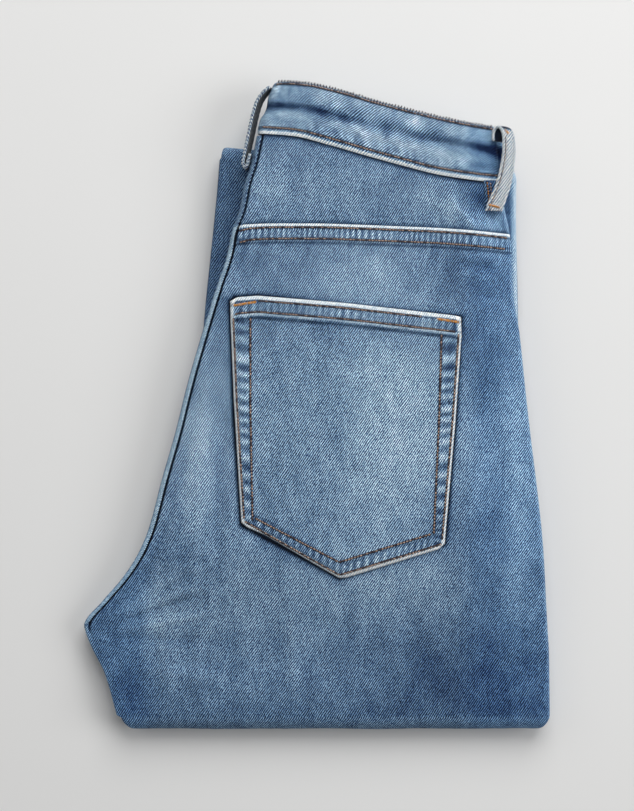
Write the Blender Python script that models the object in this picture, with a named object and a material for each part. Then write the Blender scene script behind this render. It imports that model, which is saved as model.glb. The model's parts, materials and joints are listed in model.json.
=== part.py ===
"""Slim jeans folded in half lengthwise, backs outward, with the legs Z-folded under the seat.

X runs across the legs, +Y toward the waist, +Z up. The origin is the middle of the resting outline
on the floor. Sizes are in millimetres and become metres when a mesh is made.
"""
import math
from bisect import bisect_right
from collections import namedtuple

import bmesh
import bpy
from mathutils import Vector
from mathutils.geometry import tessellate_polygon

MM = 0.001

# Cloth sizes
CLOTH = 1.3
SEAM_GAP = 0.3
UNDER_GAP = 1.2
PLY_GAP = 0.4
PACK = 8.6
HEM_WALL = 1.9
HEM_HEIGHT = 22.0

# Waistband sizes
BAND_WALL = 2.6
BAND_PITCH = 3.0
BAND_STEP = 0.8
BAND_PACK = 11.6
YOKE_PACK = 10.4
FRONT_DIP = 16.0
FRONT_RECESS = 9.0
BAND_CROWN = 1.2

# Rounded edges of the folded legs
TUBE_REACH = 3.0
SEAT_REACH = 6.0
SEAT_SEAM_ANGLE = 65.0
SEAM_EDGE_ANGLE = 4.0
GROOVE_DEPTH = 6.0

# Fold lines
BOTTOM_FOLD_Y = -207.9
BOTTOM_FOLD_BORE = 1.8
TOP_FOLD_Y = 163.6
TOP_FOLD_SLOPE = -0.079
TOP_FOLD_BORE = 0.5
HEM_Y = -77.0
FOLD_CORNER = 5.0

# Felled seams and pocket
FELL_WIDTH = 7.4
FELL_RISE = 0.8
RIDGE_RISE = 0.9
POCKET_GAP = 0.35
POCKET_LOFT = 0.55
POCKET_HEM_RISE = 0.6

# Belt loops
LOOP_WALL = 2.0
LOOP_WIDTH = 11.5

# Left and right outline of the top layer, seen from above
Outline = namedtuple("Outline", "y left right")
TOP_OUTLINE = [
    Outline(206.0, -26.9, 114.4),
    Outline(196.7, -31.1, 114.7),
    Outline(176.6, -37.0, 115.0),
    Outline(155.1, -41.6, 116.2),
    Outline(141.7, -45.8, 117.0),
    Outline(125.7, -49.1, 120.4),
    Outline(112.5, -54.0, 123.4),
    Outline(95.9, -57.6, 125.1),
    Outline(77.0, -64.0, 125.8),
    Outline(45.7, -73.6, 130.4),
    Outline(15.0, -82.5, 133.6),
    Outline(-15.8, -90.2, 137.0),
    Outline(-46.5, -99.0, 140.8),
    Outline(-77.5, -107.3, 144.3),
    Outline(-93.1, -113.8, 145.6),
    Outline(-108.9, -123.9, 146.7),
    Outline(-124.8, -137.6, 147.8),
    Outline(-141.6, -150.3, 149.0),
    Outline(-148.5, -147.8, 149.5),
    Outline(-156.1, -144.4, 150.0),
    Outline(-171.4, -136.4, 150.3),
    Outline(-186.6, -131.4, 150.3),
    Outline(-207.9, -125.5, 150.3),
]

# The leg below it, from the bottom fold to the top fold, and on to the hem
LEG_OUTLINE = [
    Outline(166.0, -61.4, 128.8),
    Outline(134.0, -63.6, 129.1),
    Outline(95.0, -67.2, 130.2),
    Outline(63.0, -70.4, 130.8),
    Outline(5.0, -75.6, 131.6),
    Outline(-47.0, -82.0, 138.0),
    Outline(-125.0, -98.1, 145.6),
    Outline(-184.0, -117.1, 149.0),
    Outline(-207.9, -125.5, 150.3),
]
CUFF_OUTLINE = [
    Outline(166.0, -61.4, 128.8),
    Outline(60.0, -58.5, 126.0),
    Outline(-77.0, -54.7, 121.7),
]

# Underside of the top layer along the garment
Underside = namedtuple("Underside", "y height")
TOP_UNDERSIDE = [
    Underside(210.0, 18.4),
    Underside(188.0, 20.6),
    Underside(166.0, 21.8),
    Underside(146.0, 21.6),
    Underside(122.0, 20.2),
    Underside(95.0, 18.4),
    Underside(60.0, 18.0),
    Underside(-76.0, 18.2),
    Underside(-92.0, 18.2),
    Underside(-110.0, 16.2),
    Underside(-130.0, 12.8),
    Underside(-150.0, 10.5),
    Underside(-165.0, 10.0),
    Underside(-182.0, 11.1),
    Underside(-197.8, 12.2),
    Underside(-212.0, 12.2),
]

# Waistband and yoke edges, across the right back half
WaistColumn = namedtuple("WaistColumn", "share top bottom seam")
WAIST_COLUMNS = [
    WaistColumn(0.00, 206.8, 174.2, 114.8),
    WaistColumn(0.05, 207.9, 173.8, 116.6),
    WaistColumn(0.15, 206.8, 172.4, 117.2),
    WaistColumn(0.30, 202.0, 166.6, 117.1),
    WaistColumn(0.45, 195.6, 159.9, 116.3),
    WaistColumn(0.60, 189.8, 153.6, 115.3),
    WaistColumn(0.75, 184.6, 147.8, 114.2),
    WaistColumn(0.90, 180.3, 144.4, 112.2),
    WaistColumn(1.00, 178.0, 143.0, 110.4),
]

# Left end of the band from its lower to its upper edge
BandRow = namedtuple("BandRow", "rise left right lift")
BAND_ROWS = [
    BandRow(0.00, -37.4, 116.6, 0.0),
    BandRow(0.08, -37.2, 116.6, 0.5),
    BandRow(0.28, -35.8, 116.2, 0.4),
    BandRow(0.44, -32.6, 115.8, 0.6),
    BandRow(0.56, -31.4, 115.5, -1.0),
    BandRow(0.70, -30.8, 115.2, -0.2),
    BandRow(0.92, -28.2, 114.8, 0.1),
    BandRow(1.00, -27.0, 114.6, -0.6),
]

# Largest soft folds of the top layer, from one end to the other
Fold = namedtuple("Fold", "x0 y0 x1 y1 width rise")
FOLDS = [
    Fold(-74.0, 5.0, -77.0, -122.0, 6.5, 1.0),
    Fold(-59.0, 16.0, -64.0, -126.0, 6.0, -1.0),
    Fold(-143.0, -138.0, -62.0, -112.0, 6.5, 1.1),
    Fold(-140.0, -148.0, -52.0, -150.0, 6.0, -0.9),
    Fold(-128.0, -166.0, -48.0, -176.0, 7.0, 0.9),
    Fold(-100.0, -128.0, -93.0, -196.0, 6.5, 0.8),
    Fold(-8.0, -118.0, -14.0, -198.0, 9.0, 0.7),
    Fold(58.0, -112.0, 74.0, -198.0, 12.0, -0.8),
    Fold(70.0, 138.0, 112.0, 106.0, 9.0, 0.9),
    Fold(86.0, 92.0, 122.0, 86.0, 7.0, -0.8),
    Fold(-60.0, 92.0, -40.0, 60.0, 6.5, 0.8),
    Fold(118.0, 40.0, 128.0, -60.0, 9.0, 0.7),
]

# Rows of the top layer below the yoke seam
PANEL_ROWS = [98, 84, 70, 55, 40, 25, 10, -6, -22, -38, -54, -68, -80, -92, -104, -116, -127, -136,
              -143, -151, -160, -170, -180, -189, -197.8]

# Shares across a panel, close together at the folds of the seat
TOP_SHARES = [0.0, 0.035, 0.07, 0.105, 0.14, 0.175, 0.21, 0.245, 0.285, 0.34, 0.41, 0.5, 0.6, 0.7, 0.8,
              0.9, 1.0]
PLAIN_SHARES = [0.0, 0.07, 0.15, 0.3, 0.5, 0.75, 1.0]

# How far the left leg's edges stand in from the right leg's, along the folded length
Step = namedtuple("Step", "length left right")
LEG_STEPS = [
    Step(0.0, 0.0, 2.2),
    Step(0.2, 0.0, 1.2),
    Step(0.38, 1.6, 2.6),
    Step(0.5, 0.6, -0.4),
    Step(0.62, -0.8, 0.8),
    Step(0.75, 0.4, -0.6),
    Step(0.88, -0.6, 1.4),
    Step(1.0, 1.2, 2.0),
]

# Paths of the belt loops, each with its end folded back as a tab; tilt turns the strip about its path
LoopPoint = namedtuple("LoopPoint", "x y z tilt")
CENTRE_LOOP = [
    LoopPoint(-29.9, 204.0, 24.2, 90.0),
    LoopPoint(-33.4, 201.2, 24.4, 90.0),
    LoopPoint(-37.2, 195.8, 24.7, 90.0),
    LoopPoint(-39.6, 188.0, 25.2, 90.0),
    LoopPoint(-41.8, 178.0, 25.7, 90.0),
    LoopPoint(-43.8, 168.5, 26.2, 90.0),
    LoopPoint(-45.6, 161.0, 26.6, 90.0),
    LoopPoint(-47.2, 155.0, 26.8, 90.0),
    LoopPoint(-47.3, 151.4, 26.9, 90.0),
    LoopPoint(-46.0, 149.3, 26.9, 90.0),
    LoopPoint(-44.5, 151.2, 26.9, 90.0),
    LoopPoint(-43.2, 155.2, 26.9, 90.0),
    LoopPoint(-41.9, 160.5, 26.8, 90.0),
]
RIGHT_LOOP = [
    LoopPoint(115.6, 169.0, 31.9, 50.0),
    LoopPoint(116.0, 174.6, 32.2, 52.0),
    LoopPoint(118.2, 177.4, 33.4, 54.0),
    LoopPoint(121.0, 176.2, 34.9, 55.0),
    LoopPoint(122.7, 171.5, 35.2, 55.0),
    LoopPoint(123.2, 164.0, 34.9, 53.0),
    LoopPoint(122.6, 156.5, 34.3, 49.0),
    LoopPoint(120.9, 147.0, 34.0, 42.0),
    LoopPoint(118.4, 138.6, 33.7, 30.0),
    LoopPoint(115.6, 131.6, 33.3, 18.0),
    LoopPoint(112.9, 124.8, 32.7, 12.0),
]
LEFT_LOOP = [
    LoopPoint(108.6, 174.6, 18.6, 0.0),
    LoopPoint(108.4, 168.0, 17.2, 0.0),
    LoopPoint(108.0, 160.0, 17.6, 0.0),
    LoopPoint(107.6, 153.0, 19.3, 0.0),
    LoopPoint(107.2, 146.0, 19.6, 0.0),
    LoopPoint(106.8, 138.0, 19.8, 0.0),
    LoopPoint(106.4, 129.0, 19.5, 0.0),
]


def smooth_table(xs, ys, x):
    """Value at x of a curve through a table, without overshoot."""
    if x <= xs[0]:
        return ys[0]
    if x >= xs[-1]:
        return ys[-1]
    k = bisect_right(xs, x) - 1
    width = xs[k + 1] - xs[k]
    slopes = []
    for j in (k, k + 1):
        if j == 0 or j == len(xs) - 1:
            slopes.append((ys[k + 1] - ys[k]) / width)
            continue
        before = (ys[j] - ys[j - 1]) / (xs[j] - xs[j - 1])
        after = (ys[j + 1] - ys[j]) / (xs[j + 1] - xs[j])
        slopes.append(0.0 if before * after <= 0 else 2 * before * after / (before + after))
    t = (x - xs[k]) / width
    rise = ys[k + 1] - ys[k]
    return (ys[k] + t * width * slopes[0]
            + t * t * (3 * rise - width * (2 * slopes[0] + slopes[1]))
            + t * t * t * (width * (slopes[0] + slopes[1]) - 2 * rise))


def column(rows, key, name, x):
    """One named column of a table, read at x along the key column."""
    ordered = sorted(rows, key=lambda row: getattr(row, key))
    return smooth_table([getattr(r, key) for r in ordered], [getattr(r, name) for r in ordered], x)


def blend(a, b, t):
    """Straight mix from a to b."""
    return a + (b - a) * t


def ease(t):
    """Smooth step from 0 to 1."""
    t = min(1.0, max(0.0, t))
    return t * t * (3 - 2 * t)


def fold_relief(x, y):
    """Height that the soft folds add to the top layer."""
    total = 0.0
    for fold in FOLDS:
        along = Vector((fold.x1 - fold.x0, fold.y1 - fold.y0))
        away = Vector((x - fold.x0, y - fold.y0))
        share = away.dot(along) / along.length_squared
        side = (along.x * away.y - along.y * away.x) / along.length
        taper = ease(share / 0.3) * ease((1 - share) / 0.3)
        total += fold.rise * taper * math.exp(-(side / fold.width) ** 2 * 2)
    return total


def waist_share(x):
    """Share across the waist from the centre back to the side."""
    return min(1.0, max(0.0, (x + 45.0) / 165.0))


def pack_thickness(x, y):
    """Thickness of the four plies of the top layer."""
    share = waist_share(x)
    seam = column(WAIST_COLUMNS, "share", "seam", share)
    band = column(WAIST_COLUMNS, "share", "bottom", share)
    return blend(PACK, YOKE_PACK, ease((y - seam) / (band - seam)))


def top_underside(x, y):
    """Height of the top layer's lower face, with the droop of its free edge over the leg below."""
    support = column(LEG_OUTLINE, "y", "left", y)
    overhang = max(0.0, support - x)
    return column(TOP_UNDERSIDE, "y", "height", y) - 6.4 * (overhang / 52.0) ** 1.5


def top_height(x, y, left, right):
    """Height of the top layer's upper face."""
    inner = min(x - left, right - x)
    window = ease((inner - 2.0) / 16.0)
    nose = ease((y + 200.0) / 22.0)
    crown = 1.5 * ease(inner / 60.0) * nose
    return top_underside(x, y) + pack_thickness(x, y) + crown + window * nose * fold_relief(x, y)


class Station:
    """One line across the folded pack; depth is counted from either face of the pack."""

    def __init__(self, left, right, length, seat=0.0, shell_seat=0.0):
        self.left = left
        self.right = right
        self.left_step = column(LEG_STEPS, "length", "left", length) * (1 - seat)
        self.right_step = column(LEG_STEPS, "length", "right", length)
        self.seat = seat
        self.shell_seat = shell_seat

    def share(self, x):
        """Share of the way from the left to the right edge."""
        return min(1.0, max(0.0, (x - self.left) / (self.right - self.left)))

    def thickness(self, x):
        """Thickness of the pack at x."""
        return PACK


class TopStation(Station):
    """A line across the top layer: its row is a function of the share across it."""

    def __init__(self, row, length, seat, shell_seat):
        self.row = row
        left = column(TOP_OUTLINE, "y", "left", row(0.0))
        right = column(TOP_OUTLINE, "y", "right", row(1.0))
        super().__init__(left, right, length, seat, shell_seat)

    def thickness(self, x):
        return pack_thickness(x, self.row(self.share(x)))

    def from_right(self, x, depth):
        """Point at a depth below the right leg's face."""
        y = self.row(self.share(x))
        return Vector((x, y, top_height(x, y, self.left, self.right) - depth))

    def from_left(self, x, depth):
        """Point at a depth above the left leg's face."""
        y = self.row(self.share(x))
        return Vector((x, y, top_underside(x, y) + depth))


class FoldStation(Station):
    """A line across one of the two folds, at an angle round it."""

    def __init__(self, angle, bottom, length):
        self.angle = math.radians(angle)
        self.bottom = bottom
        bore = BOTTOM_FOLD_BORE if bottom else TOP_FOLD_BORE
        self.bore = bore
        self.radius = bore + PACK
        inset = (FOLD_CORNER if bottom else 2.0) * math.cos(self.angle) ** 2
        table = LEG_OUTLINE
        y = BOTTOM_FOLD_Y if bottom else 166.0
        left = column(table, "y", "left", y) + inset
        right = column(table, "y", "right", y) - inset * 0.8
        super().__init__(left, right, length)

    def place(self, x, radius):
        """Point at a radius from the axis of the fold."""
        out = math.cos(self.angle) * radius
        up = math.sin(self.angle) * radius
        if self.bottom:
            return Vector((x, BOTTOM_FOLD_Y + self.radius - out, self.radius + up))
        edge = TOP_FOLD_Y + TOP_FOLD_SLOPE * x
        return Vector((x, edge - self.radius + out, self.radius + up))

    def from_right(self, x, depth):
        """Point at a depth from the right leg's face: outside at the bottom fold, inside at the top."""
        return self.place(x, self.radius - depth if self.bottom else self.bore + depth)

    def from_left(self, x, depth):
        """Point at a depth from the left leg's face."""
        return self.place(x, self.bore + depth if self.bottom else self.radius - depth)


class LegStation(Station):
    """A line across the leg between the two folds: the right leg's face looks down."""

    def __init__(self, share, length):
        self.part = share
        y = blend(BOTTOM_FOLD_Y + BOTTOM_FOLD_BORE + PACK, TOP_FOLD_Y - PACK, share)
        left = column(LEG_OUTLINE, "y", "left", y)
        right = column(LEG_OUTLINE, "y", "right", y)
        super().__init__(left, right, length)

    def row(self, x):
        """Row of this line at x, turning from one fold line to the other."""
        start = BOTTOM_FOLD_Y + BOTTOM_FOLD_BORE + PACK
        end = TOP_FOLD_Y + TOP_FOLD_SLOPE * x - TOP_FOLD_BORE - PACK
        return blend(start, end, self.part)

    def base(self, x):
        """Height of the lower face: on the floor, then over the cuff."""
        y = self.row(x)
        return 9.0 * ease((y + 152.0) / 70.0) + 0.6 * ease((y - 110.0) / 40.0)

    def from_right(self, x, depth):
        """Point at a depth from the right leg's face."""
        return Vector((x, self.row(x), self.base(x) + depth))

    def from_left(self, x, depth):
        """Point at a depth from the left leg's face."""
        return Vector((x, self.row(x), self.base(x) + PACK - depth))


class CuffStation(Station):
    """A line across the lowest stretch of leg: the left leg's face lies on the floor."""

    def __init__(self, share, length):
        self.part = share
        y = blend(TOP_FOLD_Y - PACK, HEM_Y, share)
        left = column(CUFF_OUTLINE, "y", "left", y)
        right = column(CUFF_OUTLINE, "y", "right", y)
        super().__init__(left, right, length)

    def row(self, x):
        """Row of this line at x."""
        start = TOP_FOLD_Y + TOP_FOLD_SLOPE * x - TOP_FOLD_BORE - PACK
        return blend(start, HEM_Y, self.part)

    def from_right(self, x, depth):
        """Point at a depth from the right leg's face."""
        return Vector((x, self.row(x), PACK - depth))

    def from_left(self, x, depth):
        """Point at a depth from the left leg's face."""
        return Vector((x, self.row(x), depth))


def seam_row(offset):
    """Row that follows the yoke seam at an offset below it."""
    return lambda share: column(WAIST_COLUMNS, "share", "seam", share) - offset


def yoke_row(part, dip=0.0, gap=SEAM_GAP):
    """Row between the band's lower edge and the yoke seam."""
    def row(share):
        band = column(WAIST_COLUMNS, "share", "bottom", share) - gap - dip * (1 - share) ** 1.5
        seam = column(WAIST_COLUMNS, "share", "seam", share) + SEAM_GAP
        return blend(band, seam, part)
    return row


def level_row(y):
    """Straight row across the top layer, evened out from the curve of the yoke seam."""
    bend = 0.55 * ease((y - 20.0) / 80.0)

    def row(share):
        seam = column(WAIST_COLUMNS, "share", "seam", share)
        return y + bend * (seam - 115.0)
    return row


def seat_weights(y):
    """How far a row is seat, with one fold at the centre back, and not two separate legs."""
    return ease((y + 168.0) / 14.0), ease((y + 150.0) / 12.0)


def top_stations():
    """Rows of the top layer from the yoke seam to the bottom fold."""
    rows = [seam_row(0.0), seam_row(FELL_WIDTH), seam_row(FELL_WIDTH + 1.6)]
    rows += [level_row(y) for y in PANEL_ROWS]
    stations = []
    for index, row in enumerate(rows):
        inner, shell = seat_weights(row(0.0))
        stations.append(TopStation(row, 0.33 * index / len(rows), inner, shell))
    return stations


def lower_stations():
    """The bottom fold, the leg, the top fold and the stretch down to the hem."""
    hem_share = 1 - (HEM_HEIGHT + SEAM_GAP) / (TOP_FOLD_Y - PACK - HEM_Y)
    stations = [FoldStation(angle, True, 0.36) for angle in (60, 30, 0, -30, -60)]
    stations += [LegStation(share, 0.4 + 0.3 * share) for share in
                 (0.0, 0.1, 0.16, 0.21, 0.26, 0.31, 0.36, 0.6, 0.85, 1.0)]
    stations += [FoldStation(angle, False, 0.72) for angle in (-60, -30, 0, 30, 60)][::-1]
    stations += [CuffStation(share, 0.75 + 0.25 * share) for share in (0.0, 0.4, hem_share)]
    return stations


def shell_edge(reach, height, angles, wall):
    """Outer and inner offsets of a wall rounded over an edge: inward distance and depth."""
    outer = []
    inner = []
    for angle in angles:
        turn = math.radians(angle)
        outer.append((reach * (1 - math.cos(turn)), height * (1 - math.sin(turn))))
        inner.append((reach - (reach - wall) * math.cos(turn),
                      height - (height - wall) * math.sin(turn)))
    return outer, inner


def right_panel_lines(station, shares, fell=0.0):
    """Outer and inner line of the right leg's back at a station."""
    seat = station.shell_seat
    reach = blend(TUBE_REACH, SEAT_REACH, seat)
    thick = station.thickness(station.left)
    height = blend(thick / 4, thick / 2, seat)
    start = blend(SEAM_EDGE_ANGLE, SEAT_SEAM_ANGLE, seat)
    angles = [start, blend(start, 90.0, 0.5)]
    left_out, left_in = shell_edge(reach, height, angles, CLOTH)
    side = station.thickness(station.right) / 4
    right_out, right_in = shell_edge(TUBE_REACH, side, [45.0, SEAM_EDGE_ANGLE], CLOTH)
    ridge = RIDGE_RISE * seat
    outer = []
    inner = []
    for index, (step, depth) in enumerate(left_out):
        rise = ridge if index == 0 else ridge * 0.6
        outer.append(station.from_right(station.left + step, depth - rise - fell))
    for step, depth in left_in:
        inner.append(station.from_right(station.left + step, depth))
    for share in shares:
        x = blend(station.left + reach, station.right - TUBE_REACH, share)
        outer.append(station.from_right(x, -fell))
        inner.append(station.from_right(x, CLOTH))
    for step, depth in right_out:
        outer.append(station.from_right(station.right - step, depth - fell * (depth < side * 0.5)))
    for step, depth in right_in:
        inner.append(station.from_right(station.right - step, depth))
    return outer, inner


def left_panel_lines(station, shares):
    """Outer and inner line of the left leg's back at a station."""
    seat = station.shell_seat
    reach = blend(TUBE_REACH, SEAT_REACH, seat)
    thick = station.thickness(station.left)
    height = blend(thick / 4, thick / 2, seat)
    start = blend(-SEAM_EDGE_ANGLE, SEAT_SEAM_ANGLE - 6.0, seat)
    angles = [blend(start, -90.0, part) for part in (0.0, 0.2, 0.4, 0.6, 0.8)]
    left_out, left_in = shell_edge(reach, height, angles, CLOTH)
    side = station.thickness(station.right) / 4
    right_out, right_in = shell_edge(TUBE_REACH, side, [-45.0, -SEAM_EDGE_ANGLE], CLOTH)
    left = station.left + station.left_step
    right = station.right - station.right_step
    outer = [station.from_left(left + step, 2 * height - depth) for step, depth in left_out]
    inner = [station.from_left(left + step, 2 * height - depth) for step, depth in left_in]
    for share in shares:
        x = blend(left + reach, right - TUBE_REACH, share)
        outer.append(station.from_left(x, 0.0))
        inner.append(station.from_left(x, CLOTH))
    outer += [station.from_left(right - step, 2 * side - depth) for step, depth in right_out]
    inner += [station.from_left(right - step, 2 * side - depth) for step, depth in right_in]
    return outer, inner


def layered_edge(station, edge, step, sign, seat):
    """Edge of the front panels: two tubes with a groove, or one round fold at the seat."""
    thick = station.thickness(edge)
    quarter = thick / 4
    tube = [(3.3, CLOTH + SEAM_GAP), (1.65, quarter + 0.15), (0.0, quarter + 0.2), (0.9, quarter * 1.75),
            (GROOVE_DEPTH, quarter * 2), (0.9, quarter * 1.75), (0.0, quarter + 0.2),
            (1.65, quarter + 0.15), (3.3, CLOTH + SEAM_GAP)]
    points = []
    for index, (inward, depth) in enumerate(tube):
        lower = index > 4
        turn = math.radians(90.0 - 22.5 * index)
        shift = step if lower else (step * 0.5 if index == 4 else 0.0)
        round_in = SEAT_REACH - (SEAT_REACH - CLOTH - 0.9) * math.cos(turn)
        round_depth = thick / 2 - (thick / 2 - CLOTH - SEAM_GAP) * abs(math.sin(turn))
        x = edge + sign * blend(inward + shift, round_in, seat)
        level = blend(depth, round_depth, seat)
        points.append(station.from_left(x, level) if lower else station.from_right(x, level))
    return points


def layer_ring(station):
    """Closed outline of the front panels at a station."""
    left = layered_edge(station, station.left, station.left_step, 1, station.seat)
    right = layered_edge(station, station.right, station.right_step, -1, 0.0)
    reach = blend(TUBE_REACH, SEAT_REACH, station.shell_seat)
    relief = 1.1 if isinstance(station, TopStation) else 0.0
    top = []
    under = []
    for share in PLAIN_SHARES[1:-1]:
        x = blend(station.left + reach, station.right - TUBE_REACH, share)
        top.append(station.from_right(x, CLOTH + SEAM_GAP + relief))
        left_x = station.left + station.left_step + reach
        right_x = station.right - station.right_step - TUBE_REACH
        under.append(station.from_left(blend(left_x, right_x, share), CLOTH + SEAM_GAP))
    return left[::-1] + top + right + under[::-1]


def material(name, colour, roughness):
    """Plain surface for one piece."""
    made = bpy.data.materials.new(name)
    made.use_nodes = True
    shader = made.node_tree.nodes["Principled BSDF"]
    shader.inputs["Base Color"].default_value = (*colour, 1.0)
    shader.inputs["Roughness"].default_value = roughness
    shader.inputs["Metallic"].default_value = 0.0
    return made


def add_object(name, points, faces, colour):
    """Closed mesh object from points in millimetres."""
    mesh = bpy.data.meshes.new(name)
    mesh.from_pydata([tuple(Vector(p) * MM) for p in points], [], faces)
    body = bmesh.new()
    body.from_mesh(mesh)
    bmesh.ops.recalc_face_normals(body, faces=body.faces)
    body.to_mesh(mesh)
    body.free()
    made = bpy.data.objects.new(name, mesh)
    mesh.materials.append(material(name + "_cloth", colour, 0.9))
    bpy.context.scene.collection.objects.link(made)
    return made


def wall_between(name, outer_rows, inner_rows, colour):
    """Closed wall from rows of outer points and the matching inner points."""
    rows = len(outer_rows)
    cols = len(outer_rows[0])
    points = [p for row in outer_rows for p in row] + [p for row in inner_rows for p in row]
    shift = rows * cols
    faces = []
    for i in range(rows - 1):
        for j in range(cols - 1):
            a = i * cols + j
            faces.append((a, a + 1, a + cols + 1, a + cols))
            faces.append((a + shift, a + cols + shift, a + cols + 1 + shift, a + 1 + shift))
    rim = [j for j in range(cols)]
    rim += [i * cols + cols - 1 for i in range(1, rows)]
    rim += [(rows - 1) * cols + j for j in range(cols - 2, -1, -1)]
    rim += [i * cols for i in range(rows - 2, 0, -1)]
    for k, a in enumerate(rim):
        b = rim[(k + 1) % len(rim)]
        faces.append((b, a, a + shift, b + shift))
    return add_object(name, points, faces, colour)


def solid_through(name, rings, colour, flat_along_path=False):
    """Closed solid through rings of equal count, capped at both ends."""
    count = len(rings[0])
    points = [p for ring in rings for p in ring]
    faces = []
    for i in range(len(rings) - 1):
        for j in range(count):
            a = i * count + j
            b = i * count + (j + 1) % count
            faces.append((a, b, b + count, a + count))
    for start, ring in ((0, rings[0]), ((len(rings) - 1) * count, rings[-1])):
        flat = ring if flat_along_path else [Vector((p.x, p.z)) for p in ring]
        for triangle in tessellate_polygon([flat]):
            faces.append(tuple(start + k for k in triangle))
    return add_object(name, points, faces, colour)


def tube_through(name, outer_rings, inner_rings, colour):
    """Closed hollow strip from outer rings and the matching inner rings."""
    count = len(outer_rings[0])
    rows = len(outer_rings)
    points = [p for ring in outer_rings for p in ring] + [p for ring in inner_rings for p in ring]
    shift = rows * count
    faces = []
    for i in range(rows - 1):
        for j in range(count):
            a = i * count + j
            b = i * count + (j + 1) % count
            faces.append((a, b, b + count, a + count))
            faces.append((a + shift, a + count + shift, b + count + shift, b + shift))
    for start in (0, (rows - 1) * count):
        for j in range(count):
            a = start + j
            b = start + (j + 1) % count
            faces.append((a, a + shift, b + shift, b))
    return add_object(name, points, faces, colour)


def band_path(left, right, recess):
    """Folded path of the band in plan of its end: x and height above its underside, with normals."""
    half = BAND_WALL / 2
    level = [half, half + BAND_PITCH, half + 2 * BAND_PITCH, half + 3 * BAND_PITCH]
    bend = BAND_PITCH / 2
    wide = 1.5 * BAND_PITCH
    path = []

    def run(x0, x1, z, count, up):
        for k in range(count):
            path.append((blend(x0, x1, k / (count - 1)), z, 0.0, up))

    def turn(x, z, radius, start, end, count, facing):
        for k in range(1, count):
            angle = math.radians(blend(start, end, k / count))
            path.append((x + radius * math.cos(angle), z + radius * math.sin(angle),
                         facing * math.cos(angle), facing * math.sin(angle)))

    right_x = right - bend - half
    left_x = left + wide + half
    front_x = left + recess + bend + half
    run(left_x, right_x, level[3], 14, 1.0)
    turn(right_x, level[2] + bend, bend, 90.0, -90.0, 4, 1.0)
    run(right_x, front_x, level[2], 7, -1.0)
    turn(front_x, level[1] + bend, bend, 90.0, 270.0, 4, -1.0)
    run(front_x, right_x, level[1], 7, 1.0)
    turn(right_x, level[0] + bend, bend, 90.0, -90.0, 4, 1.0)
    run(right_x, left_x, level[0], 7, -1.0)
    turn(left_x, level[0] + wide, wide, -90.0, -270.0, 8, 1.0)
    return path


def band_surface(x, y):
    """Height of the band's underside."""
    return top_underside(x, y) - BAND_STEP


def build_band(colour):
    """Waistband: one closed strip folded in four, with its upper and lower edges."""
    outer_rings = []
    inner_rings = []
    for row in BAND_ROWS:
        path = band_path(row.left, row.right, FRONT_RECESS)
        outer = []
        inner = []
        for x, z, normal_x, normal_z in path:
            share = min(1.0, max(0.0, (x - row.left) / (row.right - row.left)))
            top = column(WAIST_COLUMNS, "share", "top", share)
            low = column(WAIST_COLUMNS, "share", "bottom", share)
            front = 1.0 if BAND_PITCH * 0.6 < z < BAND_PACK - BAND_PITCH * 0.6 and x > row.left + 8 else 0.0
            dip = FRONT_DIP * (1 - share) ** 1.5 * front
            y = blend(low, top, row.rise) - dip
            base = band_surface(x, y)
            crown = ease((x - row.left - 4.0) / 30.0) * ease((row.right - x - 1.0) / 30.0)
            outermost = z > BAND_PACK - BAND_WALL and normal_z > 0.99
            raise_by = crown * (BAND_CROWN + row.lift) if outermost else 0.0
            for ring, side in ((outer, 1.0), (inner, -1.0)):
                ring.append(Vector((x + side * normal_x * BAND_WALL / 2, y,
                                    base + z + raise_by + side * normal_z * BAND_WALL / 2)))
        outer_rings.append(outer)
        inner_rings.append(inner)
    return tube_through("waistband", outer_rings, inner_rings, colour)


def build_yokes(colour):
    """Right and left yoke, from the band down to the yoke seam."""
    right = []
    left = []
    for part in (0.0, 0.2, 0.4, 0.6, 0.8, 1.0):
        station = TopStation(yoke_row(part), 0.0, 1.0, 1.0)
        right.append(right_panel_lines(station, TOP_SHARES))
        station = TopStation(yoke_row(part, 0.0, UNDER_GAP), 0.0, 1.0, 1.0)
        left.append(left_panel_lines(station, PLAIN_SHARES))
    wall_between("right_yoke", [r[0] for r in right], [r[1] for r in right], colour)
    wall_between("left_yoke", [r[0] for r in left], [r[1] for r in left], colour)


def build_panels(colour, inside_colour):
    """Both back panels and the front layers between them, along the whole fold."""
    top = top_stations()
    lower = lower_stations()
    right = []
    for index, station in enumerate(top + lower):
        fell = FELL_RISE if index < 2 else 0.0
        right.append(right_panel_lines(station, TOP_SHARES, fell))
    wall_between("right_back_panel", [r[0] for r in right], [r[1] for r in right], colour)
    left = [left_panel_lines(station, PLAIN_SHARES) for station in top + lower]
    wall_between("left_back_panel", [r[0] for r in left], [r[1] for r in left], colour)
    yoke = [TopStation(yoke_row(part, FRONT_DIP * (1 - part), 2.0), 0.0, 1.0, 1.0)
            for part in (0.0, 0.2, 0.4, 0.6, 0.8)]
    rings = [layer_ring(station) for station in yoke + top + lower]
    solid_through("front_layers", rings, inside_colour)


def panel_grid():
    """Rows and heights of the right back panel's outer face, for what lies on it."""
    grid = []
    for station in top_stations():
        outer = right_panel_lines(station, TOP_SHARES)[0]
        grid.append(outer)
    return grid


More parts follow.
